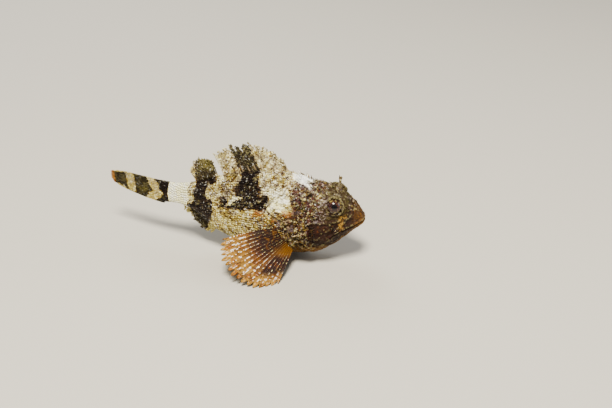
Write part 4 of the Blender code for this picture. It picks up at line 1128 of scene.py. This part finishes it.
# The fins: thin membranes on rays that stand out as ridges, dark-barred like the body, with
# the spiny back fin's strong spines running past its ragged edge.

FIN_SUNK = 1.6
SPINY_LENGTHS = (6.6, 9.4, 11.6, 12.4, 12.6, 12.4, 12.2, 11.9, 11.4, 10.6, 9.4)
SPINY_START, SPINY_END = 32.0, 61.4
SOFT_LENGTHS = (6.8, 8.0, 8.5, 8.6, 8.5, 8.2, 7.6, 6.6, 5.4, 4.0)
SOFT_START, SOFT_END = 64.6, 74.6
ANAL_LENGTHS = (3.0, 4.8, 4.6, 4.8, 4.8, 4.6, 4.4, 4.0)
ANAL_START, ANAL_END = 65.8, 75.8
# Lean of the first and the last ray in degrees, sway of the margin, curl of each ray.
SPINY_STAND = (22, 20, 0.5, 0.10)
SOFT_STAND = (14, 26, 0.0, 0.10)
ANAL_STAND = (34, 74, 0.0, 0.10)
CAUDAL_RAYS = 13
CAUDAL_ROOT_HALF = 5.4
CAUDAL_LENGTH = 28.5
CAUDAL_FAN = math.radians(-2.0)
CAUDAL_MIDDLE = 0.6
CAUDAL_ROUND, CAUDAL_CORNER = 0.10, 0.22
CAUDAL_SWAY = (0.8, 2.4, 0.8)
PECTORAL_RAYS = 16
PECTORAL_ROOT_TOP, PECTORAL_ROOT_LOW = (31.8, -2.0), (29.6, -13.0)
PECTORAL_TIP_ALONG = ((0, 58.5), (0.25, 57.0), (0.5, 51.5), (0.75, 43.0), (1, 34.0))
PECTORAL_TIP_SIDE = ((0, 21.0), (0.25, 26.5), (0.5, 30.0), (0.75, 30.5), (1, 26.5))
PECTORAL_TIP_UP = ((0, -6.0), (0.25, -12.5), (0.5, -18.8), (0.75, -22.6), (1, -22.9))
PECTORAL_SUNK = 2.0
PECTORAL_BOW = (-0.78, 1.3, 2.08)
PELVIC_RAYS = 6
PELVIC_ROOT_FRONT, PELVIC_ROOT_REAR = (30.6, 4.8), (36.0, 3.0)
PELVIC_TIP_ALONG = ((0, 33.5), (0.35, 41.0), (0.7, 47.0), (1, 49.0))
PELVIC_TIP_SIDE = ((0, 14.0), (0.35, 15.0), (0.7, 12.0), (1, 7.0))
PELVIC_TIP_UP = -22.8
PELVIC_BOW = (0, 0, 0.7)
PELVIC_SUNK = 2.2


def upright_fin(lengths, start, end, edge, lean_first, lean_last, wave, curl):
    """The middle of a fin on the fish's midline, standing on its back or hanging from its belly."""
    way = 1 if edge is BACK else -1
    last = len(lengths) - 1

    def surface(u, t):
        along = start + (end - start) * u / last
        lean = np.radians(lean_first + (lean_last - lean_first) * u / last)
        length = np.interp(u, np.arange(last + 1), lengths) + FIN_SUNK
        foot = through(edge, along) - way * FIN_SUNK
        back = np.sin(lean) * length * t + curl * length * t**2
        rise = np.cos(lean) * length * t
        return np.stack([along + back, wave * np.sin(1.9 * u) * t, foot + way * rise], -1)

    return surface


def caudal_surface(u, t):
    v = 2 * u / (CAUDAL_RAYS - 1) - 1
    angle = CAUDAL_FAN * v
    length = (CAUDAL_LENGTH + FIN_SUNK) * (1 - CAUDAL_ROUND * v * v - CAUDAL_CORNER * v**6)
    sway, along_ray, over_rays = CAUDAL_SWAY
    return np.stack([
        BODY_LENGTH - FIN_SUNK + np.cos(angle) * length * t,
        sway * np.sin(along_ray * t + over_rays * v) * t,
        CAUDAL_MIDDLE + CAUDAL_ROOT_HALF * v + np.sin(angle) * length * t,
    ], -1)


def paired_fin(hand, rays, roots_at, tips_at, bow):
    """The middle of a breast or belly fin, from its roots to its tips and bowed between."""

    def surface(u, t):
        v = u / (rays - 1)
        roots, tips = np.stack(roots_at(v), -1), np.stack(tips_at(v), -1)
        swell = np.sin(math.pi * np.clip(t, 0, 1))[:, None] * np.array(bow)
        return (roots + (tips - roots) * t[:, None] + swell) * np.array([1, hand, 1])

    return surface


def pectoral_roots(v):
    along, up = (a + (b - a) * v for a, b in zip(PECTORAL_ROOT_TOP, PECTORAL_ROOT_LOW))
    return along, through(FLANK, along) * (0.97 - 0.42 * v**2) - PECTORAL_SUNK, up


def pectoral_tips(v):
    return [through(line, v) for line in (PECTORAL_TIP_ALONG, PECTORAL_TIP_SIDE, PECTORAL_TIP_UP)]


def pelvic_roots(v):
    along, side = (a + (b - a) * v for a, b in zip(PELVIC_ROOT_FRONT, PELVIC_ROOT_REAR))
    return along, side, through(BELLY, along) + PELVIC_SUNK


def pelvic_tips(v):
    return through(PELVIC_TIP_ALONG, v), through(PELVIC_TIP_SIDE, v), PELVIC_TIP_UP + 0 * v


FIN_COLUMNS_PER_RAY = 12
RAY_HALF_WIDTH = 0.11  # of the way from one ray to the next
FORK_START = 0.45
RAY_JOINTS = 60
WEB_RIPPLE = 0.10
OVER_FLOOR = 0.02


def fin(name, surface, rays, rows, notch, sheet, ridge, fork, seed):
    """A grid laid along the rays, thickened to a sheet and swelled on each ray."""
    columns = (rays - 1) * FIN_COLUMNS_PER_RAY
    bpy.ops.mesh.primitive_grid_add(x_subdivisions=columns, y_subdivisions=rows, size=2)
    obj = added(name)
    flat = corners(obj)
    u = (flat[:, 0] + 1) / 2 * (rays - 1)
    share = (flat[:, 1] + 1) / 2
    rng = np.random.default_rng(seed)
    tatter = np.interp(u, np.linspace(0, rays - 1, rays * 4), rng.uniform(-1, 1, rays * 4))
    away = np.abs(u - np.round(u)) * 2
    ray_reach = rng.uniform(0.96, 1.0, rays)[np.round(u).astype(int)]
    reach = ray_reach * (1 - notch * away**1.5) - 0.35 * notch * np.abs(tatter) * away
    t = share * reach
    move_corners(obj, surface(u, t))
    with_modifier(obj, "SOLIDIFY", thickness=sheet, offset=0)
    u, t = np.tile(u, 2), np.tile(t, 2)
    spot = fork * np.clip((t - FORK_START) / (1 - FORK_START), 0, 1)
    swell = hump(np.abs(np.abs(u - np.round(u)) - spot), RAY_HALF_WIDTH)
    joint = 1 - 0.22 * np.clip(np.sin(t * RAY_JOINTS), 0, 1) ** 4 * (fork > 0)
    thick = swell * joint * ridge * (1 - 0.72 * t) * smooth(1.02 - t, 0, 0.1)
    ripple = WEB_RIPPLE * np.sin(9 * t + 2.1 * np.round(u)) * (1 - swell) * t
    side_of_sheet = np.repeat([1.0, -1.0], len(u) // 2)
    shift = thick + ripple * side_of_sheet
    straight = corners(obj) + corners(obj, "normal") * shift[:, None]
    straight[:, 2] = np.maximum(straight[:, 2], OVER_FLOOR - SNOUT_HEIGHT)
    move_corners(obj, straight)
    keep(obj, "fin", np.stack([u, t, swell], -1))
    return obj


def fin_finish(name, body_share):
    """The body's markings on a thin web, with rays that are dashed pale and brown."""
    finish = Finish(name, 0.5)
    coat, fish, grain, fleck = markings(finish)
    ray, reach, ridge = finish.parts_of(finish.place("fin"))
    own_ray = ray.maths("ROUND")
    chance = finish.add("ShaderNodeTexWhiteNoise", {"noise_dimensions": "1D"}, {"W": own_ray})
    phase = reach * 40 + chance * 5 + (finish.noise(fish, 0.4, 3) - 0.5) * 9
    dashes = phase.maths("SINE").ramped(-0.1, 0.5) * ridge.ramped(0.2, 0.6)
    own = finish.mix(dashes * 0.6, finish.mix(0.35, coat, OLIVE), CREAM)
    finish.feed("Base Color", finish.mix(body_share, own, coat))
    finish.bump(grain * 0.5 + fleck * 0.5, 0.0002)
    return finish


WEB_DARK = (0.035, 0.010, 0.004, 1)
WEB_RUST = (0.17, 0.062, 0.005, 1)
WEB_GOLD = (0.36, 0.21, 0.035, 1)
RAY_GOLD = (0.36, 0.175, 0.012, 1)
SHADE_BROWN = (0.014, 0.006, 0.006, 1)


def breast_fin_finish():
    """Gold and rust rays with broken white dashes, on a web that is dark at its root and front."""
    finish = Finish("breast_fins", 0.5)
    fish = finish.place("fish")
    ray, reach, ridge = finish.parts_of(finish.place("fin"))
    clouds = finish.noise(fish, 0.22, 3, 0.6)
    wander = finish.noise(finish.shaken(fish, 0.5, 2.0), 0.5, 4, 0.65)
    grain = finish.noise(fish, 3.0, 2, 0.6)
    fleck = finish.noise(fish, 1.4, 3, 0.6)
    own_ray = ray.maths("ROUND")
    branch = own_ray * 7.4 + (ray - own_ray).ramped(-0.03, 0.03) * 3.1
    along_branch = finish.add("ShaderNodeCombineXYZ", {}, [branch, reach * 24, 0.0])
    broken = finish.noise(along_branch, 1.0, 3, 0.6) + (wander - 0.5) * 0.35
    on_ray = ridge.ramped(0.35, 0.80)
    root_shade = reach.ramped(0.70, 0.48) * ray.ramped(11.5, 7) * wander.ramped(0.40, 0.48)
    front_shade = reach.within(0.40, 0.78, 0.08) * ray.ramped(9.0, 10.5) * wander.ramped(0.38, 0.46)
    dark = root_shade.maths("MAXIMUM", front_shade)
    gold_web = reach.ramped(0.55, 0.95) * clouds.ramped(0.35, 0.55)
    web = finish.stained(WEB_DARK, (
        (wander.ramped(0.42, 0.58), WEB_RUST),
        (gold_web * 0.8, WEB_GOLD),
        (fleck.ramped(0.52, 0.62) * 0.7, MAROON),
    ))
    bright = reach.within(0.44, 0.90, 0.10) * (1 - dark) * clouds.ramped(0.34, 0.46)
    own = finish.stained(web, (
        (on_ray, finish.mix(clouds.ramped(0.44, 0.56), RUST, RAY_GOLD)),
        (reach.ramped(0.55, 0.30) * 0.8, DARK_GOLD),
        (broken.ramped(0.48, 0.42) * on_ray * 0.9, DARK_BROWN),
        (dark * 0.97, SHADE_BROWN),
        (dark * on_ray * broken.ramped(0.58, 0.64) * 0.8, CREAM),
        (broken.ramped(0.535, 0.575) * on_ray * bright, WHITE),
        (reach.ramped(0.86, 1.0) * wander.ramped(0.4, 0.6) * 0.5, GOLD),
        (grain.ramped(0.60, 0.70) * 0.6, DARK_BROWN),
    ))
    finish.feed("Base Color", own)
    finish.bump(grain * 0.5 + fleck * 0.5, 0.0002)
    return finish


midline_finish = fin_finish("midline_fins", 0.85)
breast_finish = breast_fin_finish()
spiny_surface = upright_fin(SPINY_LENGTHS, SPINY_START, SPINY_END, BACK, *SPINY_STAND)
soft_surface = upright_fin(SOFT_LENGTHS, SOFT_START, SOFT_END, BACK, *SOFT_STAND)
anal_surface = upright_fin(ANAL_LENGTHS, ANAL_START, ANAL_END, BELLY, *ANAL_STAND)
SPINY_NOTCH, SOFT_NOTCH, ANAL_NOTCH = 0.26, 0.10, 0.12
BREAST_FIN = (PECTORAL_RAYS, pectoral_roots, pectoral_tips, PECTORAL_BOW)
BELLY_FIN = (PELVIC_RAYS, pelvic_roots, pelvic_tips, PELVIC_BOW)
BREAST_WEB = (PECTORAL_RAYS, 50, 0.07, 0.34, 0.45, 0.2, breast_finish)
BELLY_WEB = (PELVIC_RAYS, 30, 0.12, 0.36, 0.45, 0.2, breast_finish)
# Each fin: its surface, rays, rows along a ray, depth of the web's notches, thickness of the
# sheet, height of a ray's ridge, spread of its fork, finish.
FINS = (
    ("dorsal_fin_spiny", spiny_surface, 11, 30, SPINY_NOTCH, 0.32, 0.25, 0.0, midline_finish),
    ("dorsal_fin_soft", soft_surface, 10, 24, SOFT_NOTCH, 0.32, 0.25, 0.2, midline_finish),
    ("anal_fin", anal_surface, 8, 24, ANAL_NOTCH, 0.32, 0.25, 0.2, midline_finish),
    ("caudal_fin", caudal_surface, CAUDAL_RAYS, 44, 0.05, 0.34, 0.3, 0.22, midline_finish),
    ("pectoral_fin_left", paired_fin(1, *BREAST_FIN), *BREAST_WEB),
    ("pectoral_fin_right", paired_fin(-1, *BREAST_FIN), *BREAST_WEB),
    ("pelvic_fin_left", paired_fin(1, *BELLY_FIN), *BELLY_WEB),
    ("pelvic_fin_right", paired_fin(-1, *BELLY_FIN), *BELLY_WEB),
)
for seed, (name, *sizes, finish) in enumerate(FINS):
    posed(fin(name + "_web", *sizes, seed), finish, "fin", name)

# The fringe of the back fins and the anal fin: small soft flaps of skin that grow in tufts
# on the fins' sides and along their margins.

# Each fringed fin: its surface, last ray, notch, number of tufts, and how far down they grow.
FRINGED = (
    (spiny_surface, 10, SPINY_NOTCH, 620, 0.75), (soft_surface, 9, SOFT_NOTCH, 240, 0.5),
    (anal_surface, 7, ANAL_NOTCH, 60, 0.4),
)
fin_rng = np.random.default_rng(23)
feet, sides, outs = [], [], []
for surface, last_ray, notch, count, spread in FRINGED:
    u = fin_rng.uniform(0, last_ray, count)
    margin = 1 - notch * (2 * np.abs(u - np.round(u))) ** 1.5
    t = (1 - spread * fin_rng.random(count) ** 1.7) * margin
    step = 0.02
    out = unit(surface(u, t) - surface(u, t - step))
    across = surface(u + step, t) - surface(u - step, t)
    side = np.cross(across, out) * fin_rng.choice([-1.0, 1.0], count)[:, None]
    feet.append(surface(u, t))
    sides.append(unit(side))
    outs.append(out)
feet, sides, outs = (np.concatenate(parts) for parts in (feet, sides, outs))
fringe_lengths = 0.6 + 1.0 * fin_rng.random(len(feet)) ** 2
fringe_widths = 0.5 + 0.5 * fin_rng.random(len(feet))
fringe_leans = fin_rng.uniform(0.7, 1.4, len(feet))
fringe = tufts(
    "fin_fringe", feet, sides, outs, fringe_lengths, fringe_widths, fringe_leans, fin_rng
)
posed(fringe, flap_finish, "fin")

# The back fin's and the anal fin's spines: bony rods that run up the membrane to sharp tips,
# the anal fin's only in its first three rays.

SPINE_RADIUS = 0.5
SPINE_TAPER = 0.88
SPINE_STEPS = 8
SPINE_HORN = (0.40, 0.29, 0.17, 1)

spines = []
for surface, count in ((spiny_surface, len(SPINY_LENGTHS)), (anal_surface, 3)):
    for ray in range(count):
        t = np.linspace(0.02, 1.0, SPINE_STEPS + 1)
        line = [Vector(p) for p in surface(np.full(len(t), float(ray)), t)]
        sizes = [SPINE_RADIUS * (1 - SPINE_TAPER * k / SPINE_STEPS) for k in range(len(t))]
        spines.append(tube("spine", line, sizes, 8))
spine_finish = Finish("fin_spines", 0.42)
coat, _, grain, _ = markings(spine_finish)
spine_finish.feed("Base Color", spine_finish.mix(0.45, coat, SPINE_HORN))
spine_finish.bump(grain, 0.00012)
posed(joined("fin_spines", spines), spine_finish, "fin")

low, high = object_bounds()
sizes = {"cad": [list(cad_low), list(cad_high)], "visual": [list(low), list(high)]}
